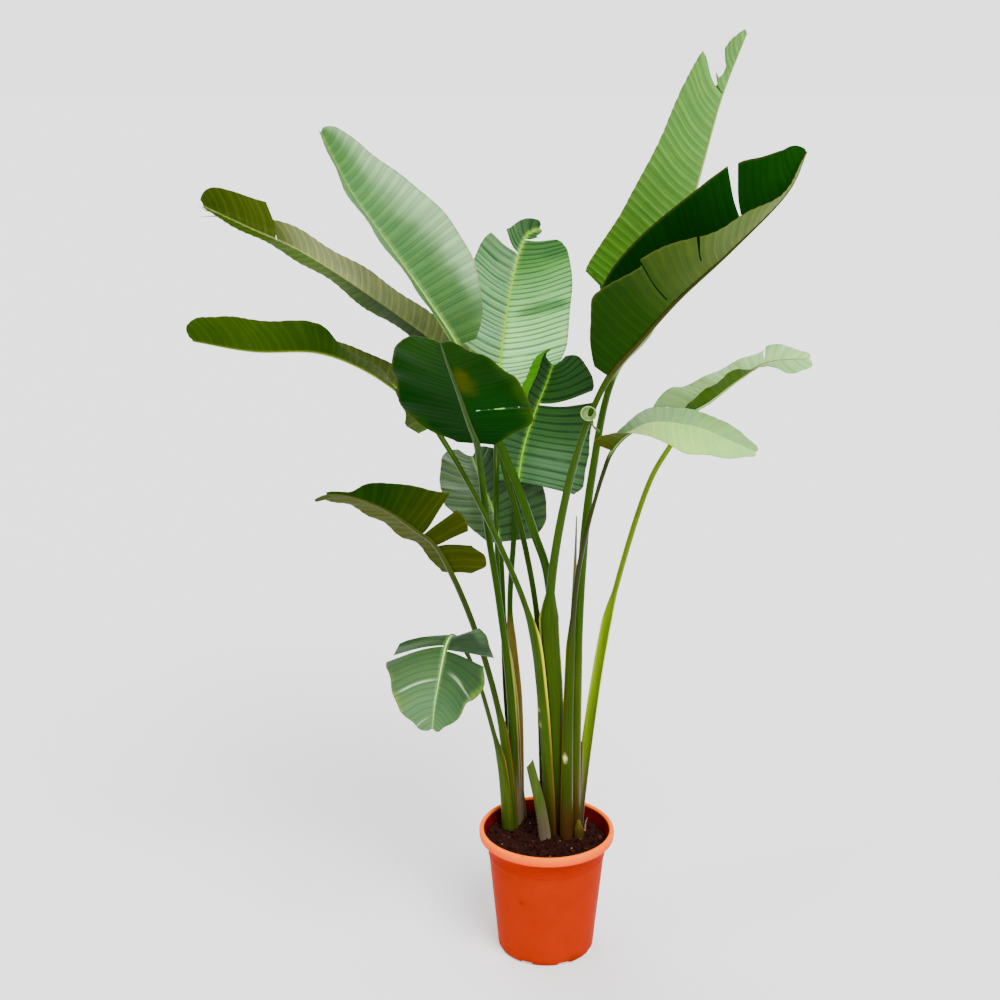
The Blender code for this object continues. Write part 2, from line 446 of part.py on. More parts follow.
def foot_socket(leaf):
    """Vertices and faces of the plain hole that a leaf's foot stands in."""
    axis = Axis(leaf)
    s = np.array([0.0, axis.soil, axis.soil + COLLAR])
    place, forward, upper, right = axis.at(s)
    width, thick = stalk_section(leaf, place[:, 2])
    place[0] -= forward[0] * FIT_GAP
    return tube_mesh(section_ring(place, upper, right, width + FIT_GAP, thick + FIT_GAP))


def tube_mesh(rings):
    """Vertices and faces of a closed tube through rings of corners."""
    count, corners = rings.shape[:2]
    faces = []
    for i in range(count - 1):
        for k in range(corners):
            after = (k + 1) % corners
            faces.append((i * corners + k, i * corners + after, (i + 1) * corners + after, (i + 1) * corners + k))
    faces.append(tuple(range(corners)))
    faces.append(tuple(range((count - 1) * corners, count * corners)))
    return list(rings.reshape(-1, 3)), faces


# ---------------------------------------------------------------- shoots without a blade

def shoot_rings(shoot, count, grow):
    """Rings of a shoot from its buried foot to its end, grown outwards by grow."""
    foot = np.array(shoot.path[0]) - (0, 0, FOOT_DEPTH)
    line = curve_through([foot] + shoot.path)
    length = np.concatenate([[0.0], np.cumsum(np.linalg.norm(np.diff(line, axis=0), axis=1))])
    at_points = length[::CURVE_STEPS]
    soil = at_points[1]
    spread = np.linspace(soil, length[-1], count)
    s = np.concatenate([[0.0, soil, soil + COLLAR], spread[spread > soil + 1.2 * COLLAR]])
    place = np.array([np.interp(s, length, line[:, k]) for k in range(3)]).T
    forward = unit(np.array([np.interp(s + 0.002, length, line[:, k]) - np.interp(s - 0.002, length, line[:, k])
                             for k in range(3)]).T)
    hint = np.array(shoot.upper)
    upper = unit(hint - (forward @ hint)[:, None] * forward)
    right = np.cross(forward, upper)
    width = np.interp(s, at_points, (shoot.widths[0],) + shoot.widths)
    thick = np.interp(s, at_points, (shoot.thicknesses[0],) + shoot.thicknesses)
    rings = section_ring(place, upper, right, width + grow, thick + grow)
    across = np.einsum("kc,c->k", rings[-1] - place[-1], right[-1]) / width[-1]
    rings[-1] += np.outer(across * shoot.slant / 2, forward[-1])
    return rings


def shoot_socket(shoot):
    """Vertices and faces of the plain hole that a shoot's foot stands in."""
    rings = shoot_rings(shoot, SHOOT_RINGS, FIT_GAP)[:3]
    rings[0] -= (0.0, 0.0, FIT_GAP)
    return tube_mesh(rings)


# ---------------------------------------------------------------- objects

def mesh_from(name, verts, faces):
    mesh = bpy.data.meshes.new(name)
    bm = bmesh.new()
    corners = [bm.verts.new(v) for v in verts]
    for face in faces:
        bm.faces.new([corners[i] for i in face])
    bmesh.ops.recalc_face_normals(bm, faces=bm.faces[:])
    if bm.calc_volume(signed=True) < 0:
        bmesh.ops.reverse_faces(bm, faces=bm.faces[:])
    bm.to_mesh(mesh)
    bm.free()
    return mesh


def add_object(name, mesh, collection, colour, roughness=0.5):
    obj = bpy.data.objects.new(name, mesh)
    collection.objects.link(obj)
    material = bpy.data.materials.new(name)
    material.use_nodes = True
    shader = material.node_tree.nodes["Principled BSDF"]
    shader.inputs["Base Color"].default_value = (*colour, 1.0)
    shader.inputs["Roughness"].default_value = roughness
    mesh.materials.append(material)
    return obj


def add_cutter(name, mesh, collection):
    obj = bpy.data.objects.new(name, mesh)
    collection.objects.link(obj)
    obj.hide_render = True
    obj.display_type = "WIRE"
    return obj


def cut(obj, cutters):
    """Subtract everything in the collection cutters from obj."""
    boolean = obj.modifiers.new("cut", "BOOLEAN")
    boolean.operand_type = "COLLECTION"
    boolean.collection = cutters
    boolean.operation = "DIFFERENCE"
    boolean.solver = "EXACT"


def inside_radius(z):
    """Inside radius of the pot's straight wall at the height z."""
    share = (z - POT_WALL) / (GROOVE_HEIGHT - POT_WALL)
    return BASE_RADIUS + (NECK_RADIUS - BASE_RADIUS) * share - POT_WALL


def pot_profile():
    """Half-section of the pot: up its inside from the middle of the floor, over the lip and down."""
    lip_foot = POT_HEIGHT - LIP_HEIGHT
    inside = [(0.0, POT_WALL), (inside_radius(POT_WALL), POT_WALL),
              (NECK_RADIUS - POT_WALL, GROOVE_HEIGHT), (RIM_RADIUS - 0.0105, lip_foot + 0.001),
              (RIM_RADIUS - 0.0075, POT_HEIGHT - 0.0015)]
    lip = [(RIM_RADIUS - 0.0060, POT_HEIGHT), (RIM_RADIUS - 0.0025, POT_HEIGHT - 0.0005),
           (RIM_RADIUS - 0.0004, POT_HEIGHT - 0.0035), (RIM_RADIUS, POT_HEIGHT - 0.008),
           (RIM_RADIUS - 0.0012, lip_foot)]
    neck = [(RIM_RADIUS - 0.0075, lip_foot - 0.001), (NECK_RADIUS + 0.0045, lip_foot - 0.010),
            (NECK_RADIUS + 0.0018, GROOVE_HEIGHT + 0.010), (NECK_RADIUS + GROOVE_DEPTH, GROOVE_HEIGHT + 0.0008),
            (NECK_RADIUS, GROOVE_HEIGHT - 0.0008)]
    foot = [(BASE_RADIUS + 0.0006, 0.008), (BASE_RADIUS - 0.0008, 0.003), (BASE_RADIUS - 0.004, 0.0), (0.0, 0.0)]
    return inside + lip + neck + foot


def add_pot(plant, cutters):
    profile = pot_profile()
    mesh = bpy.data.meshes.new("pot")
    mesh.from_pydata([(r, 0.0, z) for r, z in profile], [(i, i + 1) for i in range(len(profile) - 1)], [])
    pot = add_object("pot", mesh, plant, (0.68, 0.07, 0.005), 0.4)
    screw = pot.modifiers.new("turn", "SCREW")
    screw.steps = screw.render_steps = POT_SIDES
    screw.use_merge_vertices = True
    screw.merge_threshold = 1e-5
    for k in range(NOTCHES):
        bm = bmesh.new()
        bmesh.ops.create_cube(bm, size=1.0)
        bmesh.ops.scale(bm, vec=NOTCH, verts=bm.verts)
        mesh = bpy.data.meshes.new("notch")
        bm.to_mesh(mesh)
        bm.free()
        notch = add_cutter(f"notch_{k}", mesh, cutters)
        turn = 2 * math.pi * (k + 0.5) / NOTCHES
        notch.location = (BASE_RADIUS * math.cos(turn), BASE_RADIUS * math.sin(turn), NOTCH[2] / 2 - 0.001)
        notch.rotation_euler.z = turn
    cut(pot, cutters)


def soil_height(x, y):
    lumps = (math.sin(83 * x + 1.0) * math.cos(71 * y + 0.4) + 0.6 * math.sin(151 * x - 97 * y)
             + 0.4 * math.cos(190 * y + 60 * x))
    return SOIL_LEVEL + SOIL_LUMP * lumps - 0.03 * (x + 0.5 * y)


def add_soil(plant, cutters):
    levels = [POT_WALL + FIT_GAP, GROOVE_HEIGHT]
    reach = RIM_RADIUS - 0.0105
    low_edge = SOIL_LEVEL - 4 * SOIL_LUMP
    top_radius = np.interp(low_edge, [GROOVE_HEIGHT, POT_HEIGHT - LIP_HEIGHT], [NECK_RADIUS - POT_WALL, reach])
    rings = [(inside_radius(levels[0]) - 2 * FIT_GAP, levels[0]), (NECK_RADIUS - POT_WALL - 2 * FIT_GAP, levels[1])]
    bm = bmesh.new()
    loops = []

    def loop(radius, height):
        corners = []
        for k in range(POT_SIDES):
            turn = 2 * math.pi * k / POT_SIDES
            x, y = radius * math.cos(turn), radius * math.sin(turn)
            corners.append(bm.verts.new((x, y, height if height is not None else soil_height(x, y))))
        loops.append(corners)

    for radius, z in rings:
        loop(radius, z)
    for k in range(SOIL_RINGS, 0, -1):
        loop(top_radius * k / SOIL_RINGS, None)
    for low, high in zip(loops, loops[1:]):
        for k in range(POT_SIDES):
            after = (k + 1) % POT_SIDES
            bm.faces.new((low[k], low[after], high[after], high[k]))
    middle = bm.verts.new((0.0, 0.0, soil_height(0.0, 0.0)))
    for k in range(POT_SIDES):
        bm.faces.new((loops[-1][k], loops[-1][(k + 1) % POT_SIDES], middle))
    bm.faces.new(loops[0])
    bmesh.ops.recalc_face_normals(bm, faces=bm.faces[:])
    mesh = bpy.data.meshes.new("soil")
    bm.to_mesh(mesh)
    bm.free()
    soil = add_object("soil", mesh, plant, (0.03, 0.012, 0.008), 0.95)
    sockets = [foot_socket(leaf) for leaf in LEAVES.values()] + [shoot_socket(s) for s in SHOOTS.values()]
    for k, socket in enumerate(sockets):
        add_cutter(f"socket_{k}", mesh_from("socket", *socket), cutters)
    cut(soil, cutters)


def add_collection(name):
    collection = bpy.data.collections.new(name)
    bpy.context.scene.collection.children.link(collection)
    return collection


def main():
    for obj in list(bpy.data.objects):
        bpy.data.objects.remove(obj)
    plant = add_collection("potted_bird_of_paradise")
    add_pot(plant, add_collection("pot_cutters"))
    add_soil(plant, add_collection("soil_cutters"))
    for name, leaf in LEAVES.items():
        add_object(name, mesh_from(name, *leaf_mesh(leaf)), plant, (0.05, 0.2, 0.03))
    for name, shoot in SHOOTS.items():
        add_object(name, mesh_from(name, *tube_mesh(shoot_rings(shoot, SHOOT_RINGS, 0.0))), plant, shoot.colour)


main()
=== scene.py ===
"""Looks of the potted bird of paradise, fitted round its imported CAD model. Metres, +Z up.

The tables of leaves and shoots and the leaf form are those of the CAD source, drawn with finer steps.
"""
import math
from collections import namedtuple

import bmesh
import bpy
import numpy as np
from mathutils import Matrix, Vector, noise

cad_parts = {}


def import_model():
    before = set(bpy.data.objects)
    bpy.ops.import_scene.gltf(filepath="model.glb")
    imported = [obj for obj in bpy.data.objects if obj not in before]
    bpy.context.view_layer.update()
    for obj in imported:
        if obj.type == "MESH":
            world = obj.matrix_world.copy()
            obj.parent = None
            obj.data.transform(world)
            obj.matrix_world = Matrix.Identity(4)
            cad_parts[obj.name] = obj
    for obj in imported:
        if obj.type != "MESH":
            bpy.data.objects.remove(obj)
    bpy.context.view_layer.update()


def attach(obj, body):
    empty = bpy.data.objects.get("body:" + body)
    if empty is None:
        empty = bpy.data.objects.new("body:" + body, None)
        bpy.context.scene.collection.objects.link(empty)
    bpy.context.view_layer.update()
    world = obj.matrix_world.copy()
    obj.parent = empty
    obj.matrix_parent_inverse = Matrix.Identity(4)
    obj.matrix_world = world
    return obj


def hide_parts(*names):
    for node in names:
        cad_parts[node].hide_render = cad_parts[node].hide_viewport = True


# Pot and soil. The main sizes are those of the CAD source.
POT_HEIGHT = 0.230
RIM_RADIUS = 0.120
LIP_HEIGHT = 0.017
LIP_INSET = 0.0105
NECK_RADIUS = 0.1025
GROOVE_HEIGHT = 0.181
BASE_RADIUS = 0.086
POT_WALL = 0.0028
# Half-sections in millimetres: the lip's, up its inside and down its outside, out from the rim's radius and
# up from the pot's height, then the neck's and the groove's from the neck's radius and the groove's height,
# and the foot's from the base's radius
LIP_SECTION = [(-10.5, -16), (-8.2, -2.5), (-6, 0), (-2.5, -0.4), (-0.4, -3.5), (0, -8), (-1.2, -16),
               (-2.6, -17)]
NECK_SECTION = [(10, 31), (4.5, 22), (1.8, 10), (1.3, 1)]
GROOVE_SECTION = [(0.4, 0.4), (-0.2, -1.2)]
FOOT_SECTION = [(0, 7.5), (-0.8, 3), (-4, 0)]
WALL_FOOT, WALL_TOP = 0.008, GROOVE_HEIGHT - 0.002
WALL_STEPS = 24
NOTCHES = 8
NOTCH = (0.014, 0.018, 0.005)
SOIL_LEVEL = 0.206
SOIL_LUMP = 0.0022
SOIL_GAP = 0.0004
SKIRT_FOOT, SKIRT_GAP = GROOVE_HEIGHT + 0.002, 0.0010

# Leaves, as in the CAD source. SHEATH_THICKNESS is half the thickness at the foot, and SHEATH_END the length
# over which the sheath narrows to the stalk. A torn piece lifts over TEAR_EASE, a share of the half-width, and
# a tear's opening fades over TEAR_REACH, a share of the rib.
FOOT_DEPTH = 0.024
CURVE_STEPS = 24
RIB_TIP = 0.0012
SHEATH_THICKNESS = 0.0040
SHEATH_END = 0.05
TEAR_EASE = 0.3
TEAR_REACH = 0.12

# Steps of the meshes
POT_SIDES = 160
SOIL_SIDES = 150
SOIL_RINGS = 80
ROW = 0.0023
COLUMNS = 22
VEIN_STEPS = 44
STALK_ROW = 0.006
SHOOT_ROW = 0.003
OUTER_CORNERS = 17
CHANNEL_CORNERS = 7

# Thin edges and small parts
TEAR_WIDTH = 0.0018
BLADE_THICKNESS = 0.0010
EDGE_THICKNESS = 0.0005
SUNK = 0.008
CRUMBS = 520

# Colours in sRGB, from 0 to 255
POT_ORANGE = (150, 33, 0)
POT_NECK = (148, 26, 0)
# Painted shade: the pot's inside wall is darkened where shade falls inside the pot
POT_INSIDE_SHADE = (84, 3, 4)
# Painted highlight on the rounded lip, lighter at its top and darker towards its lower edge
POT_LIP_HIGHLIGHT = (246, 106, 0)
POT_LIP_HIGHLIGHT_FOOT = (222, 62, 0)
POT_MARK = (110, 14, 0)
POT_SCUFF = (120, 50, 20)
POT_DUST = (60, 16, 4)
SOIL_STAIN = (60, 8, 4)
SOIL_BROWN = (34, 13, 9)
CRUMB_COLOURS = [(34, 12, 8), (44, 18, 11), (24, 9, 7), (56, 30, 18)]
PALE_CRUMB = (120, 98, 72)
BLADE_MARGIN = (96, 92, 40)
DRY_EDGE = (104, 66, 18)
CURL_DARK, CURL_PALE, CURL_EDGE = (78, 112, 52), (128, 160, 92), (168, 200, 120)

# What the surfaces reflect
WHITE = (1.0, 1.0, 1.0)
POT_SHEEN = (1.0, 0.40, 0.05)
STALK_SHEEN = (0.6, 1.0, 0.25)

# Marks on the pot's wall: turn in radians, height and radius
POT_MARKS = [(4.25, 0.128, 0.0016), (4.30, 0.126, 0.0012)]

# Small extras, with points and radii in millimetres
Strand = namedtuple("Strand", "name points radii colour slot")
THREAD = ((1.2, 0.7, 0.3), (120, 112, 84), "leaf")
STRANDS = [
    Strand("leaf_long_left_thread_upper", [(-540, 12, 1306), (-555, 9, 1309), (-567.8, 8, 1316.3)], *THREAD),
    Strand("leaf_long_left_thread_lower", [(-530, 14, 1299), (-548, 9, 1300), (-568.7, 8, 1298.9)], *THREAD),
    Strand("leaf_small_right_neck", [(67.2, -61, 984.5), (69.2, -48, 973), (79, -30, 959)],
           (2.2, 1.6, 2.2), (70, 84, 10), "leaf"),
    Strand("dry_twig", [(69, 30, 206), (70, 31, 220), (73, 30, 232)],
           (1.6, 1.3, 0.6), (150, 110, 84), "dry_sheath"),
]

# The curled lobe: its middle, the way it faces, its radius, and its half-section as shares of the
# radius with heights in millimetres
CURL_PLACE = (0.0620, -0.0620, 0.9954)
CURL_FACING = (0.10, -0.95, 0.28)
CURL_RADIUS = 0.0118
CURL_SECTION = [(0.05, -7.8), (0.35, -7.4), (0.62, -6), (0.82, -3.6), (0.93, -0.8), (1, 1.6), (1.05, 1.4),
                (1.06, 0.2), (1, -2.4), (0.88, -5.2), (0.66, -7.4), (0.36, -8.6), (0.05, -9)]

# Stage, light and camera
FLOOR_REACH = 150.0
FLOOR_GREY = (0.85, 0.85, 0.85, 1.0)
HORIZON_LIGHT = 2.3
ZENITH_LIGHT = 1.1
LIGHTS = [
    # name, the way to it, spread in degrees, strength
    ("key", (0.35, -0.60, 0.95), 32.0, 5.0),
    ("back", (-0.45, 0.75, 0.90), 45.0, 1.5),
    ("left", (-0.90, -0.45, 0.40), 12.0, 0.7),
]
CAMERA_PLACE = (0.0, -2.5, 1.55)
CAMERA_DOWN = 16.0
CAMERA_LEFT = 1.9
CAMERA_LENS = 55.94

# A tear runs in from the margin to root, a percentage of the half-width, at a percentage of the rib's
# length. gap is the angle it opens by, and lift how far the piece beyond it turns up, both in degrees.
Tear = namedtuple("Tear", "side at root gap lift")

# Lengths are in millimetres. stalk and rib are points, from the soil to the blade and from there to the tip.
# upper is the way the leaf's upper side faces at the foot, the blade's base and its tip.
# width, fold, curl and sweep are for the left and right halves, seen from above with the tip ahead.
# width pairs a percentage of the rib's length with the length of the vein line that starts there.
# fold and curl are in degrees, evenly spaced from the base to the tip: fold is the rise of the whole
# half towards the upper side, and curl how much more it has risen at the margin. sweep is how far
# the vein lines lean towards the tip, at even steps, or where two are given at the base and at the tip.
# petiole is the stalk's half-width, and sheath the half-widths at its foot and top and its top's height.
Leaf = namedtuple("Leaf", "stalk rib upper width fold sweep petiole sheath tears curl wave",
                  defaults=[[], [(0, 0, 0), (0, 0, 0)], 3])

LEFT, RIGHT = 0, 1

LEAVES = {
    # centre fan
    "leaf_tall_right": Leaf(
        stalk=[(48, 32, 206), (50, 32, 460), (56, 36, 700), (70, 50, 860), (107, 62, 1040)],
        rib=[(164, 72, 1108), (203, 85, 1220), (241, 100, 1365), (274, 115, 1487), (310, 120, 1583)],
        upper=[(0.1, 1, 0), (-0.8, 0.35, 0.5), (-0.93, 0.1, 0.36)],
        width=[((0, 30), (8, 80), (18, 110), (40, 90), (60, 64), (78, 30), (84, 18), (100, 3)),
            ((0, 35), (6, 88), (16, 144), (40, 114), (58, 95), (82.5, 82), (83.5, 24), (87.5, 16), (89, 40),
            (97, 20), (100, 3))],
        fold=[(72, 72, 60), (68, 66, 55)], sweep=[(10, 60), (12, 70)], petiole=7.8, sheath=(12, 9, 560),
        tears=[Tear(RIGHT, 83, 0, 3, 0)], curl=[(10, 0, 0), (0, 0, 0)], wave=2),
    "leaf_trough_right": Leaf(
        stalk=[(20, 24, 206), (12, 12, 465), (2, -10, 660), (26, -28, 850), (62, -48, 990), (93, -60, 1059)],
        rib=[(140, -72, 1118), (195, -90, 1185), (273, -118, 1266), (353, -138, 1358), (374, -145, 1412)],
        upper=[(0, 1, 0), (-0.7, -0.05, 0.62), (-0.62, -0.3, 0.72)],
        width=[((0, 30), (12, 95), (25, 110), (42, 114), (67, 106), (78, 82), (90, 50), (100, 4)),
            ((0, 30), (8, 86), (17, 128), (33, 120), (34, 130), (50, 104), (62, 80), (75, 50), (90, 24),
            (100, 4))],
        fold=[(80, 70, 50), (72, 50, 28)], sweep=[(15, 55), (10, 75)], petiole=7.8, sheath=(12, 18, 650),
        tears=[Tear(LEFT, 68, 10, 5, 0), Tear(RIGHT, 33.5, 10, 0, 2), Tear(RIGHT, 50, 35, 1, 0)]),
    "leaf_small_right": Leaf(
        stalk=[(36, 4, 206), (37, 4, 470), (45, 0, 675), (60, 4, 770), (88, 6, 880), (103, 0, 921)],
        rib=[(129, -10, 952), (166, -20, 972), (235, -35, 969), (283, -45, 953), (331, -55, 933)],
        upper=[(-0.2, 1, 0), (-0.5, -0.25, 0.6), (0.1, -0.3, 0.95)],
        width=[((0, 14), (12, 24), (35, 48), (65, 52), (85, 36), (100, 4)),
            ((0, 38), (10, 46), (25, 48), (50, 62), (75, 47), (90, 26), (100, 4))],
        fold=[(10, -6, -8, -6, 0), (85, 20, -12, -12, -8)], sweep=[(-30, 60), (0, 60)], petiole=5.2,
        sheath=(12, 8, 600), wave=1.5),
    "leaf_large_left": Leaf(
        stalk=[(26, 38, 206), (16, 36, 455), (-3, 18, 700), (-24, 2, 772), (-55, -6, 865), (-100, -6, 970),
            (-152, 5, 1092)],
        rib=[(-201, 20, 1165), (-263, 32, 1251), (-324, 42, 1335), (-374, 51, 1430)],
        upper=[(0, -1, 0), (0.75, -0.6, 0.5), (0.75, -0.6, 0.5)],
        width=[((0, 25), (20, 85), (42, 92), (58, 80), (75, 58), (90, 33), (100, 6)),
            ((0, 28), (8, 62), (20, 90), (30, 105), (42, 108), (58, 95), (75, 70), (90, 44), (100, 8))],
        fold=[(40, 38, 40), (30, 30, 30)], sweep=[(15, 60), (-10, 45)], petiole=7.4, sheath=(12, 8, 600),
        wave=2),
    "leaf_long_left": Leaf(
        stalk=[(0, 31, 206), (-10, 34, 455), (-20, 30, 620), (-45, 35, 760), (-75, 40, 870),
            (-118, 45, 1036)],
        rib=[(-168, 45, 1073), (-282, 43, 1156), (-410, 32, 1242), (-488, 22, 1279), (-560, 10, 1315)],
        upper=[(0.2, -1, 0), (0.35, -0.3, 0.9), (0.35, -0.3, 0.9)],
        width=[((0, 12), (10, 34), (40, 60), (70, 50), (90, 25), (100, 4)),
            ((0, 25), (10, 50), (35, 66), (75, 66), (90, 58), (100, 12))],
        fold=[(10, 10, 10), (6, 2, 2)], sweep=[(0, 60), (10, 60)], petiole=5.2, sheath=(12, 8, 600),
        tears=[Tear(RIGHT, 76, 0, 0, 50)]),
    "leaf_low_left": Leaf(
        stalk=[(6, 14, 206), (-10, 4, 470), (-30, -10, 620), (-80, -26, 760), (-140, -26, 883),
            (-191, -4, 961)],
        rib=[(-214, 2, 993), (-250, 2, 1018), (-293, -2, 1048), (-342, -14, 1074), (-386, -24, 1087),
            (-480, -40, 1090), (-574, -52, 1108)],
        upper=[(0.5, 0.85, 0), (0.4, -0.1, 0.9), (0.1, -0.1, 1)],
        width=[((0, 30), (7, 52), (20, 40), (38, 31), (45, 34), (52, 64), (60, 74), (75, 80), (88, 72),
            (96, 46), (100, 10)),
            ((0, 30), (8, 40), (30, 38), (45, 30), (60, 40), (85, 45), (100, 8))],
        fold=[(-46, 30, 62, 65, 60), (30, 30, 30, 50, 50)], sweep=[(5, 50), (5, 50)], petiole=6.2,
        sheath=(12, 10, 620)),
    # left fan
    "leaf_front": Leaf(
        stalk=[(-58, 46, 206), (-65, 30, 460), (-85, 14, 650), (-102, 4, 770), (-114, -25, 895),
            (-118, -60, 944)],
        rib=[(-129, -105, 991), (-142, -165, 1053), (-153, -220, 1104), (-160, -270, 1146)],
        upper=[(0.3, 0.95, 0), (0.1, 0.6, 0.75), (0.1, 0.7, 0.7)],
        width=[((0, 25), (10, 60), (25, 100), (35, 100), (60, 82), (80, 50), (93, 26), (100, 8)),
            ((0, 30), (10, 72), (25, 108), (50, 105), (75, 86), (90, 56), (100, 12))],
        fold=[(5, 12, 10), (5, 12, 10)], sweep=[(-15, 30), (-5, 45)], petiole=6, sheath=(12, 7, 560),
        tears=[Tear(LEFT, 32, 10, 2, 0)], wave=4),
    "leaf_centre_tall": Leaf(
        stalk=[(-55, 56, 206), (-62, 52, 450), (-85, 45, 640), (-90, 54, 770), (-92, 85, 875),
            (-94, 165, 945)],
        rib=[(-93, 200, 990), (-85, 225, 1063), (-72, 255, 1148), (-57, 285, 1213), (-42, 299, 1242),
            (-21, 304, 1251)],
        upper=[(0.3, 0.95, 0), (0.05, -0.85, 0.5), (0.05, -0.85, 0.5)],
        width=[((0, 40), (10, 75), (40, 90), (70, 78), (81.5, 62), (82.5, 48), (95, 24), (100, 6)),
            ((0, 40), (10, 90), (30, 118), (55, 115), (75, 96), (89.5, 56), (90.5, 22), (100, 4))],
        fold=[(12, 12, 12), (10, 8, 8)], sweep=[(22, 46), (20, 38)], petiole=5, sheath=(12, 7, 560),
        tears=[Tear(LEFT, 82, 0, 14, 8), Tear(RIGHT, 90, 0, 6, 0)]),
    "leaf_centre_folded": Leaf(
        stalk=[(-53, 66, 206), (-55, 78, 435), (-68, 84, 600), (-62, 94, 735), (-55, 118, 832)],
        rib=[(-44, 132, 897), (-25, 145, 955), (-8, 157, 997), (4, 165, 1031)],
        upper=[(0.3, -0.95, 0), (-0.1, -0.85, 0.5), (-0.1, -0.85, 0.5)],
        width=[((0, 40), (30, 42), (50, 52), (62, 60), (75, 66), (90, 62), (100, 36)),
            ((0, 100), (8, 115), (25, 116), (50, 108), (65.5, 98), (66.5, 100), (85, 76), (100, 26))],
        fold=[(25, 20, 20), (10, 8, 8)], sweep=[(-5, 50), (-6, 68)], petiole=5, sheath=(12, 8, 580),
        tears=[Tear(RIGHT, 66, 0, 6, 0), Tear(LEFT, 56, 50, 0, 150)]),
    "leaf_centre_low": Leaf(
        stalk=[(-48, 76, 206), (-71, 88, 433), (-79, 95, 584), (-83, 105, 674), (-87, 110, 724)],
        rib=[(-99, 125, 778), (-120, 145, 824), (-138, 165, 866)],
        upper=[(0.2, -1, 0), (-0.1, -0.85, 0.5), (-0.1, -0.85, 0.5)],
        width=[((0, 18), (15, 45), (45, 84), (80, 70), (100, 26)),
            ((0, 60), (15, 88), (35, 96), (60, 80), (85, 45), (100, 10))],
        fold=[(25, 25, 25), (10, 8, 8)], sweep=[(10, 55), (0, 55)], petiole=4.4, sheath=(12, 7, 560)),
    "leaf_torn_left": Leaf(
        stalk=[(-63, 36, 206), (-74, 30, 360), (-90, 24, 460), (-125, 0, 600), (-163, -30, 713)],
        rib=[(-192, -44, 770), (-218, -55, 794), (-267, -75, 836), (-325, -100, 866), (-358, -108, 871)],
        upper=[(0.3, 0.95, 0), (0.35, 0.7, 0.5), (0.2, 0.75, 0.6)],
        width=[((0, 30), (6, 62), (14, 68), (20.5, 56), (21.5, 60), (27, 68), (32.5, 70), (33.5, 88),
            (50, 62), (68, 44), (78, 28), (86, 10), (100, 3)),
            ((0, 24), (15, 46), (40, 72), (70, 74), (90, 60), (97, 46), (100, 12))],
        fold=[(22, 27, 42, 30, 15), (15, 15, 15)], sweep=[(-21, 55), (-8, 42)], petiole=5.8,
        sheath=(12, 8, 420), tears=[Tear(LEFT, 21, 0, 15, 0), Tear(LEFT, 33, 0, 12, 0)]),
    "leaf_hanging_left": Leaf(
        stalk=[(-70, 26, 206), (-80, 12, 335), (-95, -8, 420), (-130, -42, 560), (-156, -58, 610),
            (-163, -70, 615)],
        rib=[(-170, -84, 604), (-175, -99, 583), (-182, -112, 545), (-188, -118, 509), (-192, -118, 468)],
        upper=[(0.3, 0.95, 0), (0.1, -0.6, 0.8), (0, -1, 0.1)],
        width=[((0, 60), (5, 88), (16.5, 86), (17.5, 72), (26, 82), (45, 62), (62, 55), (77, 38), (89, 23),
            (100, 6)),
            ((0, 52), (4, 90), (12.5, 92), (13.5, 104), (24, 94), (42, 84), (63, 66), (81, 40), (100, 6))],
        fold=[(50, 5, -5, 0, 0), (-32, -12, -5, 0, 0)],
        sweep=[(0, 10, 44, 46, 48, 50, 52), (18, 30, 34, 38, 42, 46, 50)], petiole=4.6, sheath=(12, 8, 380),
        tears=[Tear(LEFT, 17, 0, 6, 0), Tear(RIGHT, 13, 0, 2, 0)]),
    # right stem
    "leaf_arched_right": Leaf(
        stalk=[(58, 68, 206), (72, 74, 355), (95, 78, 535), (115, 78, 645), (173, 82, 850), (208, 85, 914),
            (234, 85, 963)],
        rib=[(266, 80, 985), (315, 70, 1027), (359, 60, 1057), (427, 50, 1066)],
        upper=[(-0.6, -0.8, 0), (-0.35, -0.35, 0.85), (-0.2, -0.35, 0.9)],
        width=[((0, 60), (10, 60), (30, 50), (67, 30), (69, 36), (90, 22), (100, 4)),
            ((0, 20), (10, 34), (40, 40), (60, 32), (75, 40), (90, 32), (100, 4))],
        fold=[(55, 24, 12, 10, 10), (65, 65, 55, -5, -10)], sweep=[(-45, 55), (0, 55)], petiole=5.4,
        sheath=(12, 10, 620), tears=[Tear(LEFT, 68, 35, 2, 8)]),
}

# A shoot without a blade, in millimetres. widths and thicknesses are halves, at each point of its path,
# and slant is how far its cut end rises from one side to the other. foot is the colour at its foot, and
# opening goes from 0, a closed section, to 1, a thin open sheath.
Shoot = namedtuple("Shoot", "path upper widths thicknesses colour foot opening slant", defaults=[0])

SHOOTS = {
    "spear": Shoot(
        path=[(36, 52, 206), (36, 49, 420), (41, 36, 600), (44.5, 24, 710), (46, 20, 800)],
        upper=(0, 1, 0), widths=[5, 4.5, 3.8, 2.8, 1], thicknesses=[3.6, 3.4, 3, 2.4, 1], colour=(84, 80, 50),
        foot=(70, 56, 34), opening=0),
    "old_sheath": Shoot(
        path=[(49, 56, 206), (56, 61, 290), (62, 64, 365)],
        upper=(-0.6, -0.8, 0), widths=[10, 8.5, 2], thicknesses=[2.6, 2.2, 1], colour=(104, 84, 66),
        foot=(84, 62, 48), opening=0.9),
    "cut_stub": Shoot(
        path=[(-3, -5, 206), (-13, -4, 275), (-31, -2, 352)],
        upper=(0.2, 1, 0), widths=[11.5, 10, 7.8], thicknesses=[4.6, 4.6, 4.2], slant=-14,
        colour=(52, 66, 20), foot=(96, 80, 66), opening=0.8),
    "sprout": Shoot(
        path=[(57.5, 6, 206), (58, 6, 222), (56, 7, 240)],
        upper=(0.2, 1, 0), widths=[8, 8.5, 2], thicknesses=[4, 4.2, 1.2], colour=(84, 84, 14),
        foot=(60, 44, 20), opening=0.3),
}
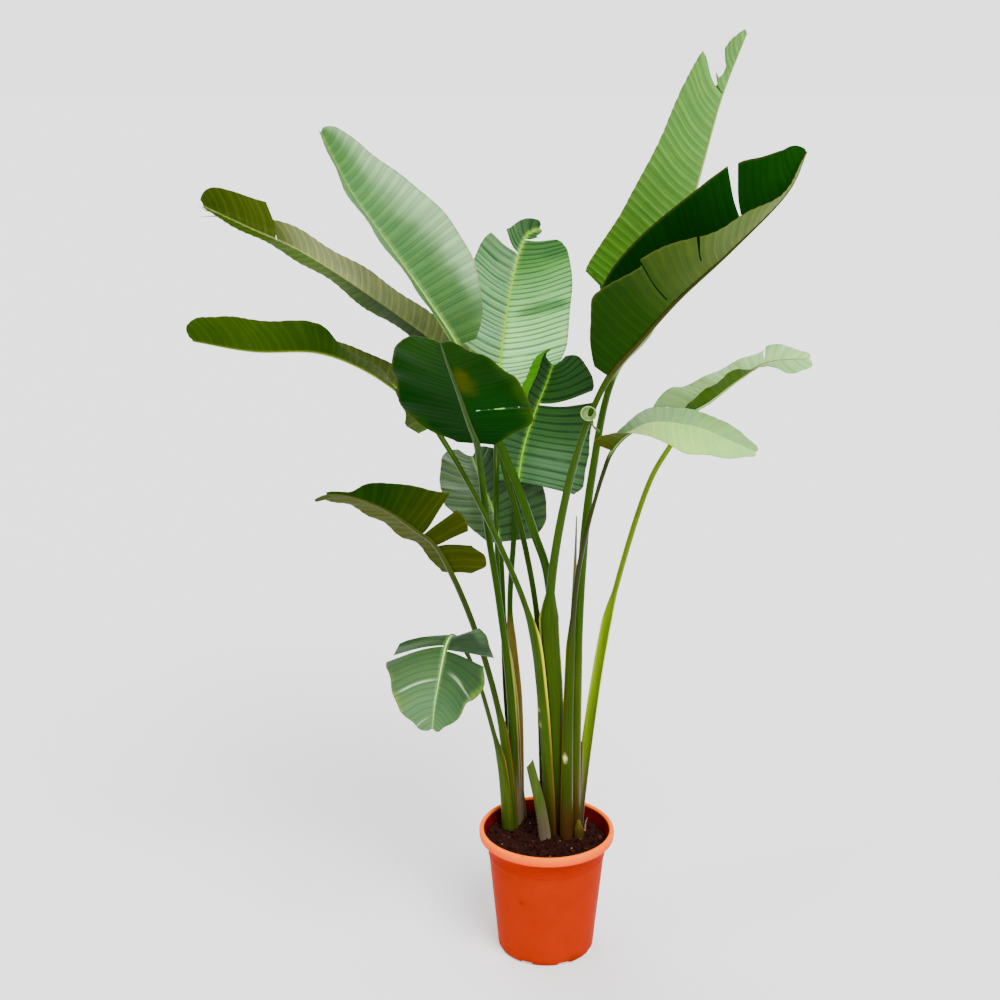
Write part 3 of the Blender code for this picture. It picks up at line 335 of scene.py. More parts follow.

# How each leaf looks. Colours are sRGB, from 0 to 255. upper and under give the left and the right half of
# the blade's upper side and underside, each from the base to the tip; on some leaves they hold painted light
# and shade, as noted at those leaves. rib is the midrib's colour on the upper side and on the underside, and
# groove the share of its width that has it. wing is the thin edge of the sheath. pleats is the distance and
# the depth of the ridges along the veins, in millimetres, and crease how dark the lines between are on the
# upper side and on the underside: above zero it paints shade into the creases, below zero it gives pale
# veins. gloss is the roughness and specular strength of the upper side and the underside, sheen the colour
# that they reflect, and glow how much light passes through.
# patches are (side, share along the rib, share out to the margin, two radii in shares, colour, strength),
# some of them painted reflection, light or shade as noted at those leaves, and spots marks on the stalk:
# (height, place across and radius in millimetres, colour).
Look = namedtuple("Look", ("upper under rib groove stalk sheath wing foot pleats crease gloss sheen glow"
                           " patches spots"), defaults=[[], []])

SATIN, DULL, MATT = (0.36, 0.45), (0.5, 0.12), (0.55, 0.04)
PALE_SHEEN, LEAF_SHEEN, DARK_SHEEN = (0.85, 1.0, 0.80), (0.50, 1.0, 0.30), (0.25, 1.0, 0.12)
PURPLE_FOOT, GREY_FOOT, GREEN_FOOT = (58, 32, 14), (92, 76, 60), (52, 66, 16)

LOOKS = {
    "leaf_tall_right": Look(
        upper=([(60, 100, 36)], [(60, 100, 36)]),
        under=([(36, 84, 0), (72, 112, 34), (104, 152, 76)],
            [(34, 82, 0), (68, 112, 26), (94, 144, 62), (104, 152, 78)]),
        rib=((120, 150, 70), (120, 150, 80)), groove=1, stalk=(34, 60, 4), sheath=(44, 60, 4),
        wing=(150, 70, 26), foot=PURPLE_FOOT, pleats=(12.5, 1.3), crease=(0.1, -0.6),
        gloss=(SATIN, (0.38, 0.4)), sheen=LEAF_SHEEN, glow=0.45),
    "leaf_trough_right": Look(
        upper=([(1, 40, 2), (4, 44, 3), (14, 64, 6)], [(1, 40, 2)]),
        under=([(20, 50, 0)], [(14, 44, 0), (24, 54, 0), (66, 84, 22), (92, 110, 44), (100, 118, 50)]),
        rib=((60, 50, 20), (52, 42, 14)), groove=1, stalk=(34, 56, 4), sheath=(36, 54, 2),
        wing=(190, 190, 30), foot=PURPLE_FOOT, pleats=(12.5, 0.6), crease=(0.2, -0.3), gloss=(MATT, DULL),
        sheen=DARK_SHEEN, glow=0.3),
    "leaf_small_right": Look(
        upper=([(66, 100, 44), (112, 160, 84), (128, 176, 96)],
            [(134, 158, 72), (150, 202, 92), (140, 200, 104)]),
        under=([(56, 66, 2)], [(56, 66, 2), (70, 82, 8)]),
        rib=((190, 214, 130), (44, 30, 18)), groove=0.35, stalk=(34, 34, 12), sheath=(34, 50, 2),
        wing=(110, 96, 20), foot=PURPLE_FOOT, pleats=(12.5, 0.5), crease=(-0.15, -0.1), gloss=(SATIN, MATT),
        sheen=PALE_SHEEN, glow=0.2, spots=[(362, 5, 3.2, (196, 196, 120))]),
    "leaf_large_left": Look(
        upper=([(48, 88, 26), (92, 134, 84), (92, 134, 82)],
            [(44, 84, 24), (60, 106, 46), (68, 116, 56), (56, 102, 42)]),
        under=([(56, 90, 16)], [(56, 90, 16)]),
        rib=((130, 170, 80), (130, 170, 80)), groove=0.7, stalk=(28, 54, 3), sheath=(40, 60, 3),
        wing=(170, 164, 24), foot=PURPLE_FOOT, pleats=(13.5, 0.3), crease=(-0.5, -0.2),
        gloss=((0.45, 0.16), DULL), sheen=PALE_SHEEN, glow=0.25,
        # The two pale patches on the right half are painted reflection of the bright surround
        patches=[(RIGHT, 0.6, 1.15, 0.45, 0.66, (138, 172, 124), 1),
            (RIGHT, 0.28, 0.95, 0.11, 0.3, (140, 178, 130), 0.6)]),
    "leaf_long_left": Look(
        upper=([(36, 58, 4), (44, 68, 6), (56, 80, 12), (46, 66, 6)],
            [(80, 94, 40), (132, 142, 82), (170, 176, 118), (54, 66, 10), (36, 50, 2)]),
        under=([(40, 58, 3)], [(40, 58, 3), (44, 62, 4)]),
        rib=((180, 196, 110), (180, 196, 110)), groove=0.6, stalk=(30, 52, 4), sheath=(40, 58, 3),
        wing=(160, 156, 24), foot=PURPLE_FOOT, pleats=(12.5, 0.6), crease=(-0.5, -0.2),
        gloss=((0.45, 0.08), DULL), sheen=LEAF_SHEEN, glow=0.3),
    "leaf_low_left": Look(
        upper=([(56, 72, 30)], [(70, 80, 34), (50, 66, 14)]),
        under=([(66, 74, 34), (66, 78, 34), (34, 62, 2), (50, 78, 0), (46, 76, 0)], [(36, 58, 2)]),
        rib=((140, 160, 60), (130, 150, 50)), groove=0.8, stalk=(32, 54, 4), sheath=(38, 60, 2),
        wing=(206, 196, 40), foot=PURPLE_FOOT, pleats=(12.5, 0.6), crease=(-0.5, -0.3), gloss=(DULL, MATT),
        sheen=LEAF_SHEEN, glow=0.35, spots=[(452, 8, 2.6, (150, 150, 70)), (424, 6, 2, (120, 120, 50))]),
    "leaf_front": Look(
        upper=([(70, 112, 50)], [(70, 112, 50)]),
        # The underside's very dark greens are painted shade, and its greener patches towards the margin
        # painted light shining through
        under=([(1, 44, 0), (5, 50, 0), (12, 52, 0), (20, 54, 0)], [(1, 42, 0), (5, 48, 0), (14, 52, 0)]),
        rib=((34, 70, 6), (28, 54, 2)), groove=1, stalk=(28, 56, 2), sheath=(30, 52, 2), wing=(150, 146, 30),
        foot=GREY_FOOT, pleats=(10.5, 0.4), crease=(0.1, -0.12), gloss=(SATIN, MATT), sheen=DARK_SHEEN,
        glow=0.3,
        patches=[(LEFT, 0.62, 0.12, 0.12, 0.2, (66, 72, 4), 0.8),
            (LEFT, 0.3, 1.05, 0.5, 0.2, (34, 72, 0), 0.9), (RIGHT, 0.1, 1, 0.14, 0.2, (34, 72, 0), 0.6),
            (RIGHT, 0.9, 0.6, 0.2, 0.5, (22, 62, 0), 0.7)]),
    "leaf_centre_tall": Look(
        # The upper side's right half is painted paler than its left: painted light from the right
        upper=([(112, 172, 108), (104, 164, 104), (76, 136, 66), (16, 64, 10)],
            [(176, 232, 166), (162, 236, 148), (142, 220, 124), (66, 136, 42), (14, 62, 6)]),
        under=([(50, 88, 14)], [(50, 88, 14)]),
        rib=((132, 190, 36), (110, 150, 40)), groove=1.2, stalk=(28, 54, 3), sheath=(32, 54, 3),
        wing=(150, 150, 30), foot=GREY_FOOT, pleats=(8.2, 1), crease=(0.9, 0.2), gloss=((0.3, 0.45), DULL),
        sheen=PALE_SHEEN, glow=0.15,
        patches=[(RIGHT, 0.5, 0.6, 0.03, 0.5, (40, 104, 30), 0.8),
            (RIGHT, 0.8, 0.8, 0.06, 0.4, (34, 96, 26), 0.8), (LEFT, 0.35, 1, 0.2, 0.25, (64, 120, 60), 0.5)]),
    "leaf_centre_folded": Look(
        # The upper side's dark greens are painted shade from the leaves above it
        upper=([(66, 110, 62), (30, 76, 20), (22, 64, 12)],
            [(72, 118, 68), (64, 114, 56), (34, 82, 22), (26, 74, 14)]),
        # The underside's brighter left half, seen on the turned-over flap, is painted light shining through it
        under=([(46, 100, 4), (64, 136, 2)], [(34, 78, 4)]),
        rib=((120, 180, 40), (90, 130, 30)), groove=0.9, stalk=(26, 52, 3), sheath=(104, 90, 36),
        wing=(140, 84, 36), foot=GREY_FOOT, pleats=(8.5, 1.1), crease=(0.8, -0.1), gloss=((0.33, 0.25), DULL),
        sheen=PALE_SHEEN, glow=0.35,
        patches=[(RIGHT, 0.15, 0.5, 0.2, 0.4, (96, 140, 96), 0.6)]),
    "leaf_centre_low": Look(
        upper=([(60, 90, 46), (56, 84, 42)], [(40, 74, 28), (26, 62, 18)]),
        under=([(34, 70, 8)], [(34, 70, 8)]),
        rib=((130, 176, 60), (90, 120, 40)), groove=0.5, stalk=(26, 50, 3), sheath=(32, 52, 4),
        wing=(150, 146, 30), foot=GREY_FOOT, pleats=(8.5, 1), crease=(0.8, 0.2), gloss=((0.32, 0.45), DULL),
        sheen=PALE_SHEEN, glow=0.2),
    "leaf_torn_left": Look(
        upper=([(60, 92, 30)], [(60, 92, 30)]),
        under=([(54, 60, 8), (48, 58, 6), (16, 48, 0), (24, 54, 0)],
            [(52, 62, 6), (66, 72, 10), (58, 66, 6)]),
        rib=((60, 70, 16), (44, 50, 8)), groove=1, stalk=(32, 46, 6), sheath=(46, 62, 6), wing=(150, 150, 60),
        foot=GREEN_FOOT, pleats=(11, 0.5), crease=(0.1, -0.4), gloss=(SATIN, MATT), sheen=LEAF_SHEEN,
        glow=0.35),
    "leaf_hanging_left": Look(
        upper=([(8, 42, 2), (38, 70, 28), (58, 94, 50), (70, 110, 62)],
            [(14, 50, 6), (62, 94, 50), (78, 116, 70), (78, 114, 70)]),
        under=([(34, 62, 4)], [(56, 84, 34)]),
        rib=((168, 216, 116), (110, 150, 60)), groove=0.35, stalk=(32, 46, 6), sheath=(46, 62, 6),
        wing=(150, 150, 60), foot=GREEN_FOOT, pleats=(9, 0.4), crease=(0.3, 0.1), gloss=((0.36, 0.25), DULL),
        sheen=PALE_SHEEN, glow=0.2,
        patches=[(LEFT, 0.03, 0.85, 0.05, 0.16, (56, 90, 46), 0.8),
            (LEFT, 0.4, 1, 0.2, 0.12, (110, 150, 40), 0.6),
            (RIGHT, 0.5, 1.02, 0.3, 0.08, (110, 140, 40), 0.7),
            # The three thin pale bands are painted reflections of the bright surround, along the veins
            (LEFT, 0.36, 0.5, 0.01, 0.42, (180, 210, 168), 0.9),
            (RIGHT, 0.48, 0.5, 0.01, 0.4, (180, 210, 168), 0.9),
            (RIGHT, 0.87, 0.7, 0.01, 0.4, (170, 200, 156), 0.8)]),
    "leaf_arched_right": Look(
        upper=([(120, 158, 90), (152, 196, 116), (156, 204, 122), (160, 220, 136)],
            [(88, 130, 66), (108, 148, 80), (156, 210, 124)]),
        under=([(40, 66, 2)], [(44, 76, 0), (60, 84, 4)]),
        rib=((120, 100, 30), (110, 90, 24)), groove=0.5, stalk=(88, 112, 10), sheath=(100, 130, 4),
        wing=(180, 186, 14), foot=(120, 108, 84), pleats=(12, 0.6), crease=(0.25, -0.2), gloss=(SATIN, MATT),
        sheen=PALE_SHEEN, glow=0.25),
}


def metres(values):
    """Millimetres as metres, through any lists and tuples."""
    return [metres(v) for v in values] if isinstance(values, (list, tuple)) else values / 1000


def leaf_in_metres(leaf):
    """The leaf with its lengths in metres and its percentages as shares."""
    return leaf._replace(
        stalk=metres(leaf.stalk), rib=metres(leaf.rib), petiole=metres(leaf.petiole),
        sheath=metres(leaf.sheath), wave=metres(leaf.wave),
        width=[[(at / 100, length / 1000) for at, length in half] for half in leaf.width],
        tears=[tear._replace(at=tear.at / 100, root=tear.root / 100) for tear in leaf.tears])


# ---------------------------------------------------------------- leaf form, as in the CAD source

def unit(v):
    return v / np.linalg.norm(v, axis=-1, keepdims=True)


def distances(line):
    """How far along a line of points each of them is."""
    return np.concatenate([[0.0], np.cumsum(np.linalg.norm(np.diff(line, axis=0), axis=1))])


def read_line(line, length, s):
    """Places on a line of points at the distances s, where length is how far along each point is."""
    return np.array([np.interp(s, length, line[:, k]) for k in range(3)]).T


def curve_through(points):
    """A centripetal Catmull-Rom curve through the points, with CURVE_STEPS samples to a span."""
    p = np.array(points, float)
    p = np.vstack([2 * p[0] - p[1], p, 2 * p[-1] - p[-2]])
    knots = np.concatenate([[0.0], np.cumsum(np.sqrt(np.linalg.norm(np.diff(p, axis=0), axis=1)))])
    samples = []
    for i in range(1, len(p) - 2):
        t0, t1, t2, t3 = knots[i - 1:i + 3]
        t = np.linspace(t1, t2, CURVE_STEPS, endpoint=False)[:, None]
        a1 = ((t1 - t) * p[i - 1] + (t - t0) * p[i]) / (t1 - t0)
        a2 = ((t2 - t) * p[i] + (t - t1) * p[i + 1]) / (t2 - t1)
        a3 = ((t3 - t) * p[i + 1] + (t - t2) * p[i + 2]) / (t3 - t2)
        b1 = ((t2 - t) * a1 + (t - t0) * a2) / (t2 - t0)
        b2 = ((t3 - t) * a2 + (t - t1) * a3) / (t3 - t1)
        samples.append(((t2 - t) * b1 + (t - t1) * b2) / (t2 - t1))
    return np.vstack(samples + [p[-2:-1]])


def curve_from_foot(points):
    """The curve through the points of a stem, from its foot below the soil."""
    return curve_through([np.array(points[0]) - (0, 0, FOOT_DEPTH)] + points)


class Axis:
    """The line of a leaf from its buried foot to its tip, with a frame at each place along it."""

    STEP = 0.004

    def __init__(self, leaf):
        self.line = curve_from_foot(leaf.stalk + leaf.rib)
        self.length = distances(self.line)
        self.base = self.length[CURVE_STEPS * len(leaf.stalk)]
        self.tip = self.length[-1]
        self.soil = self.length[CURVE_STEPS]
        self.upper = np.array(leaf.upper, float)

    def at(self, s):
        """Place, forward, upper and right-hand directions at the distance s from the foot."""
        place, ahead, behind = (read_line(self.line, self.length, t) for t in (
            s, np.minimum(s + self.STEP, self.tip), np.maximum(s - self.STEP, 0.0)))
        forward = unit(ahead - behind)
        on_stalk = np.clip(s / self.base, 0, 1)[:, None]
        on_rib = np.clip((s - self.base) / (self.tip - self.base), 0, 1)[:, None]
        hint = np.where(on_rib > 0, self.upper[1] + (self.upper[2] - self.upper[1]) * on_rib,
                        self.upper[0] + (self.upper[1] - self.upper[0]) * on_stalk ** 2)
        upper = unit(hint - np.sum(hint * forward, axis=1)[:, None] * forward)
        return place, forward, upper, np.cross(forward, upper)


def smooth_through(pairs, u):
    """A smooth line through pairs of share and value that doesn't overshoot them, read at the shares u."""
    x, y = np.array(pairs, float).T
    run = np.diff(x)
    steep = np.diff(y) / run
    turning = steep[:-1] * steep[1:] <= 0
    slope = np.zeros(len(x))
    slope[1:-1] = 2 * steep[:-1] * steep[1:] / np.where(turning, 1.0, steep[:-1] + steep[1:])
    slope[1:-1][turning] = 0.0
    slope[0], slope[-1] = steep[0], 2 * steep[-1]
    i = np.clip(np.searchsorted(x, u) - 1, 0, len(run) - 1)
    t = (u - x[i]) / run[i]
    return (y[i] * (1 + 2 * t) * (1 - t) ** 2 + slope[i] * run[i] * t * (1 - t) ** 2
            + y[i + 1] * t ** 2 * (3 - 2 * t) + slope[i + 1] * run[i] * t ** 2 * (t - 1))


def rib_length(leaf):
    return float(np.sum(np.linalg.norm(np.diff(np.array(leaf.rib), axis=0), axis=1)))


def along(values, u):
    """A value given at even steps from the base to the tip, read at the share u."""
    return np.interp(u, np.linspace(0, 1, len(values)), values)


def stalk_section(leaf, z):
    """Half-width and half-thickness of the sheath and stalk at the heights z."""
    foot, top, end = leaf.sheath
    rise = np.clip((z - SOIL_LEVEL) / (end - SOIL_LEVEL), 0, 1)
    sheath = foot + (top - foot) * rise
    narrowing = np.clip((z - end) / SHEATH_END + 0.5, 0, 1)
    half_width = sheath + (leaf.petiole - sheath) * narrowing
    return half_width, SHEATH_THICKNESS + (leaf.petiole - SHEATH_THICKNESS) * rise


# ---------------------------------------------------------------- meshes

def linear(colour):
    """An sRGB colour from 0 to 255 as linear red, green and blue."""
    c = np.array(colour, float) / 255
    return np.where(c <= 0.04045, c / 12.92, ((c + 0.055) / 1.055) ** 2.4)


def blend(low, high, share):
    """From low to high by share, where share has one value for each vertex."""
    share = np.clip(share, 0, 1)[..., None]
    return low + (high - low) * share


def wander(points, scale, seed):
    """Smooth noise from about -1 to 1 at each point."""
    flat = points.reshape(-1, 3) * scale + seed
    return np.array([noise.noise(Vector(p)) for p in flat]).reshape(points.shape[:-1])


def spread(across, along_):
    """Surface coordinates from two arrays that are widened to one shape."""
    return np.stack(np.broadcast_arrays(across, along_), axis=-1)


def round_steps(count):
    return 2 * math.pi * np.arange(count) / count


def add_object(name, data):
    made = bpy.data.objects.new(name, data)
    bpy.context.scene.collection.objects.link(made)
    return made


def primitive(name, create, size, scale=(1, 1, 1), **settings):
    """A mesh made by one of bmesh's operators."""
    bm = bmesh.new()
    create(bm, size=size, **settings)
    bmesh.ops.scale(bm, vec=scale, verts=bm.verts)
    mesh = bpy.data.meshes.new(name)
    bm.to_mesh(mesh)
    bm.free()
    return mesh


class Sheet:
    """Gathers the vertices, colours, surface coordinates and faces of one mesh."""

    def __init__(self):
        self.verts, self.tints, self.uvs = np.zeros((0, 3)), np.zeros((0, 3)), np.zeros((0, 2))
        self.phases = np.zeros(0)
        self.faces, self.slots = [], []

    def add(self, points, tints, uvs, phases=0.0):
        """Adds vertices, and gives their numbers in the shape of the grid that they came in."""
        shape = points.shape[:-1]
        index = np.arange(int(np.prod(shape))).reshape(shape) + len(self.verts)
        self.verts = np.vstack([self.verts, points.reshape(-1, 3)])
        self.tints = np.vstack([self.tints, np.broadcast_to(tints, points.shape).reshape(-1, 3)])
        self.uvs = np.vstack([self.uvs, np.broadcast_to(uvs, shape + (2,)).reshape(-1, 2)])
        self.phases = np.concatenate([self.phases, np.broadcast_to(phases, shape).ravel()])
        return index

    def quads(self, index, slot=0, keep=None):
        made = np.stack([index[:-1, :-1], index[:-1, 1:], index[1:, 1:], index[1:, :-1]], axis=-1)
        made = made[keep] if keep is not None else made.reshape(-1, 4)
        self.face_list(made.tolist(), slot)

    def face_list(self, faces, slot=0):
        self.faces += faces
        self.slots += [slot] * len(faces)

    def build(self, name, materials, sharp=45):
        mesh = bpy.data.meshes.new(name)
        mesh.from_pydata(self.verts.tolist(), [], self.faces)
        mesh.polygons.foreach_set("material_index", np.array(self.slots, np.int32))
        tint = mesh.color_attributes.new("tint", "FLOAT_COLOR", "POINT")
        tint.data.foreach_set("color", np.hstack([self.tints, np.ones((len(self.verts), 1))]).ravel())
        mesh.attributes.new("veins", "FLOAT", "POINT").data.foreach_set("value", self.phases)
        corner = np.zeros(len(mesh.loops), np.int32)
        mesh.loops.foreach_get("vertex_index", corner)
        mesh.uv_layers.new(name="UVMap").data.foreach_set("uv", self.uvs[corner].ravel())
        bm = bmesh.new()
        bm.from_mesh(mesh)
        bmesh.ops.recalc_face_normals(bm, faces=bm.faces[:])
        if bm.calc_volume(signed=True) < 0:
            bmesh.ops.reverse_faces(bm, faces=bm.faces[:])
        bm.to_mesh(mesh)
        bm.free()
        mesh.shade_smooth()
        mesh.set_sharp_from_angle(angle=math.radians(sharp))
        for material in materials:
            mesh.materials.append(material)
        return add_object(name, mesh)


def tube(name, material, ring, tint, uvs, phases=0.0, sharp=45):
    """A piece made of rings of vertices, with flat ends."""
    sheet = Sheet()
    index = sheet.add(ring, tint, uvs, phases)
    sheet.quads(np.hstack([index, index[:, :1]]))
    sheet.face_list([index[0].tolist(), index[-1].tolist()])
    return sheet.build(name, [material], sharp)


# ---------------------------------------------------------------- blades

def rows(leaf):
    """Shares of the rib's length where vein lines start, with one on each side of a tear."""
    count = int(rib_length(leaf) / ROW)
    shares = 1 - (1 - np.arange(count + 1) / count) ** 1.2
    half = 0.5 * TEAR_WIDTH / rib_length(leaf)
    cuts = sorted({tear.at for tear in leaf.tears})
    kept = [u for u in shares if all(abs(u - cut) > half + 0.3 / count for cut in cuts)]
    return np.array(sorted(kept + [cut + side * half for cut in cuts for side in (-1, 1)]))


def half_blade(leaf, look, side, frame, reach, us):
    """Middle surface of one half, its upper normals and its half-width, by row and column."""
    place, forward, upper, right = frame
    out = right if side == RIGHT else -right
    tears = sorted((t for t in leaf.tears if t.side == side), key=lambda t: t.at)
    width = smooth_through(leaf.width[side], us)
    sweep = along(leaf.sweep[side], us ** 1.5 if len(leaf.sweep[side]) == 2 else us)
    fold, curl = along(leaf.fold[side], us), along(leaf.curl[side], us)
    root = np.interp(us, [t.at for t in tears], [t.root for t in tears]) if tears else np.ones_like(us)
    lift, opening = np.zeros_like(us), np.zeros_like(us)
    for tear in tears:
        lift = np.where(us > tear.at, tear.lift, lift)
        opening += np.sign(us - tear.at) * tear.gap * np.exp(-np.abs(us - tear.at) / TEAR_REACH)
    apart, height = metres(look.pleats)
    run = us * rib_length(leaf)
    drift = np.array([noise.noise(Vector((31 * r, side, len(leaf.rib)))) for r in run])
    phase = run / apart + 0.9 * drift
    pleats = height * (2 * np.abs(np.sin(math.pi * phase)) ** 0.8 - 1) * np.minimum(1.0, width / 0.03)
    waves = (leaf.wave * np.sin(2 * math.pi * (4.3 * us + 0.37 * side + len(tears)))
             * np.sin(math.pi * np.clip(us, 0, 1)) ** 0.5)
    points = np.zeros((len(us), COLUMNS + 1, 3))
    normals = np.zeros_like(points)
    spot = place + out * reach[:, None] * 0.8 + upper * reach[:, None] * 0.2
    points[:, 0], normals[:, 0] = spot - out * reach[:, None] * 0.4, upper
    for step in range(1, VEIN_STEPS + 1):
        v = step / VEIN_STEPS
        free = np.clip((v - root) / TEAR_EASE, 0, 1)
        rise = np.radians(fold + curl * v + lift * free)[:, None]
        lean = np.radians(sweep * min(1.0, 0.35 + v) + opening * free)[:, None]
        onward = np.cos(lean) * (np.cos(rise) * out + np.sin(rise) * upper) + np.sin(lean) * forward
        spot = spot + (width / VEIN_STEPS)[:, None] * onward
        if step % (VEIN_STEPS // COLUMNS) == 0:
            normal = np.cos(rise) * upper - np.sin(rise) * out
            column = step * COLUMNS // VEIN_STEPS
            points[:, column] = spot + normal * (v ** 2 * waves + min(1.0, 6 * v) * pleats)[:, None]
            normals[:, column] = normal
    return points, normals, width, phase


def blade_tints(look, side, face, points, us, width):
    """Colour of a blade's upper side (face 0) or underside (face 1) at each vertex."""
    v, u = np.linspace(0, 1, COLUMNS + 1)[None, :], us[:, None]
    from_rib, from_edge = v * width[:, None], (1 - v) * width[:, None]
    shades = linear((look.upper, look.under)[face][side])
    tint = np.stack([along(shades[:, k], us) for k in range(3)], axis=-1)[:, None] + 0 * points
    broad, fine = wander(points, 9.0, 3.1 + side), wander(points, 42.0, 8.7)
    tint = tint * (1 + 0.22 * broad + 0.08 * fine)[..., None]
    tint = tint * np.stack([1 + 0.12 * fine, np.ones_like(fine), 1 - 0.15 * fine], axis=-1)
    beside_rib = np.exp(-(from_rib / (0.0028 * look.groove)) ** 2)
    tint = blend(tint, linear(look.rib[face]), 0.6 * look.groove * beside_rib)
    for at_side, along_rib, outward, long_radius, wide_radius, colour, strength in look.patches:
        if at_side == side:
            away = (((u + 0.04 * broad - along_rib) / long_radius) ** 2
                    + ((v + 0.10 * fine - outward) / wide_radius) ** 2)
            tint = blend(tint, linear(colour), strength * np.exp(-away ** 2))
    return blend(tint, linear(BLADE_MARGIN), 0.4 * np.exp(-(from_edge / 0.0009) ** 2))


def add_blade(name, leaf, look):
    axis = Axis(leaf)
    us = rows(leaf)
    frame = axis.at(axis.base + us * (axis.tip - axis.base))
    reach = rib_size(leaf, us)
    v = np.linspace(0, 1, COLUMNS + 1)
    thickness = BLADE_THICKNESS + (EDGE_THICKNESS - BLADE_THICKNESS) * v
    sheet = Sheet()
    for side in (LEFT, RIGHT):
        points, normals, width, phase = half_blade(leaf, look, side, frame, reach, us)
        uvs = spread((us * rib_length(leaf))[:, None], width[:, None] * v * (1 if side == RIGHT else -1))
        faces = []
        for face, sign in ((0, 0.5), (1, -0.5)):
            skin = points + normals * (sign * thickness)[None, :, None]
            faces.append(sheet.add(skin, blade_tints(look, side, face, skin, us, width), uvs, phase[:, None]))
        cells = np.ones((len(us) - 1, COLUMNS), bool)
        for tear in (t for t in leaf.tears if t.side == side):
            cells[int(np.searchsorted(us, tear.at)) - 1, v[:-1] >= tear.root - 1e-6] = False
        sheet.quads(faces[0], 0, cells)
        sheet.quads(faces[1], 1, cells)
        sheet.face_list(rim(faces, cells), 1)
    blade = sheet.build(name + "_blade", [blade_material(name + "_upper", look, 0),
                                          blade_material(name + "_underside", look, 1)])
    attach(blade, "root")
    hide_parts(name)


def rim(faces, cells):
    """Faces that close the edge between the two skins, round the blade and along its tears."""
    padded = np.pad(cells, 1)
    made = []
    for i, j in zip(*np.nonzero(cells)):
        for di, dj, a, b in ((-1, 0, (i, j), (i, j + 1)), (1, 0, (i + 1, j), (i + 1, j + 1)),
                             (0, -1, (i, j), (i + 1, j)), (0, 1, (i, j + 1), (i + 1, j + 1))):
            if not padded[i + 1 + di, j + 1 + dj]:
                made.append([int(faces[0][a]), int(faces[0][b]), int(faces[1][b]), int(faces[1][a])])
    return made


# ---------------------------------------------------------------- stalks

def rib_size(leaf, u):
    """Half-width of the midrib at the share u of its length."""
    return RIB_TIP + (leaf.petiole - RIB_TIP) * (1 - np.clip(u, 0, 1) ** 0.8)


def section_ring(place, upper, right, half_width, half_thick, sheath):
    """Rings of corners round a stalk: a rounded outer side, and on the upper side a channel between wings.

    sheath goes from 0, a stalk with a shallow groove, to 1, a thin open sheath."""
    wing = np.radians(40 + 26 * sheath)[:, None]
    turn = np.pi / 2 + wing + (2 * np.pi - 2 * wing) * np.linspace(0, 1, OUTER_CORNERS)[None, :]
    x, y = np.cos(turn), -0.225 + 0.725 * np.sin(turn)
    y = y + 0.9 * sheath[:, None] * np.clip((np.abs(x) - 0.6) / 0.4, 0, 1) ** 2
    across = np.linspace(1, -1, CHANNEL_CORNERS + 2)[None, 1:-1]
    depth = 0.22 + (y[:, -1] + 0.40) * sheath
    channel_y = y[:, -1:] - depth[:, None] * np.sqrt(1 - across ** 2)
    x, y = np.hstack([x, x[:, -1:] * across]), np.hstack([y, channel_y])
    ring = (place[:, None] + right[:, None] * (x * half_width[:, None])[..., None]
            + upper[:, None] * (y * half_thick[:, None])[..., None])
    return ring, x, y


def section_uvs(ring, width, s):
    """Surface coordinates of rings: width metres round each of them, and s along the stalk."""
    return spread(width * np.linspace(0, 1, ring.shape[1]), s[:, None])


def stalk_tints(look, ring, x, y, s, axis, sheath):
    """Colour of a stalk at each corner, from its foot through its sheath to the midrib's tip."""
    height = ring[..., 2] - SOIL_LEVEL
    streak = wander(ring * (1.0, 1.0, 0.06), 160.0, 2.2)
    broad = wander(ring, 14.0, 5.5)
    on_rib = np.clip((s - axis.base) / 0.03 + 0.6, 0, 1)[:, None] + 0 * x
    tint = blend(linear(look.sheath) + 0 * ring, linear(look.stalk), 1 - sheath[:, None] + 0 * x)
    beside = linear(look.upper[0][len(look.upper[0]) // 2])
    top = blend(beside + 0 * ring, linear(look.rib[0]), np.exp(-(x / look.groove) ** 4))
    tint = blend(tint, blend(linear(look.rib[1]) + 0 * ring, top, (y + 0.25) / 0.2), on_rib)
    tint = tint * (1 + 0.20 * streak + 0.18 * broad)[..., None]
    thin = sheath[:, None] * np.clip((np.abs(x) - 0.86) / 0.1, 0, 1) * np.clip((y + 0.05) / 0.3, 0, 1)
    dry = blend(linear(DRY_EDGE) + 0 * ring, linear(look.wing), (height - 0.16) / 0.12 + 0.5 * broad)
    tint = blend(tint, dry, 0.85 * thin)
    foot = np.clip(1.2 - height / 0.115 + 0.5 * streak + 0.4 * broad, 0, 1)
    tint = blend(tint, linear(look.foot) * (1 + 0.35 * streak)[..., None], 0.9 * foot)
    for *place, colour in look.spots:
        at_height, across, radius = metres(place)
        middle = ring[np.argmin(np.abs(ring[:, 0, 2] - at_height))].mean(0)
        away = np.hypot((ring[..., 2] - at_height) / 1.6, ring[..., 0] - middle[0] + across) / radius
        tint = blend(tint, linear(colour), np.where(y < 0.2, np.clip(1.6 - away, 0, 1), 0))
    return tint


def add_stalk(name, leaf, look):
    axis = Axis(leaf)
    count = int((axis.tip - axis.soil) / STALK_ROW)
    s = np.concatenate([[0.3 * axis.soil], np.linspace(axis.soil - SUNK, axis.tip, count)])
    place, _, upper, right = axis.at(s)
    sheath = np.clip(0.5 - (place[:, 2] - leaf.sheath[2]) / 0.06, 0, 1)
    u = (s - axis.base) / (axis.tip - axis.base)
    width, thick = (np.where(u > 0, rib_size(leaf, u), size) for size in stalk_section(leaf, place[:, 2]))
    ring, x, y = section_ring(place, upper, right, width, thick, sheath)
    tint = stalk_tints(look, ring, x, y, s, axis, sheath)
    stalk = tube(name + "_stalk", stalk_material(name + "_stalk"), ring, tint, section_uvs(ring, 0.05, s))
    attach(stalk, "root")


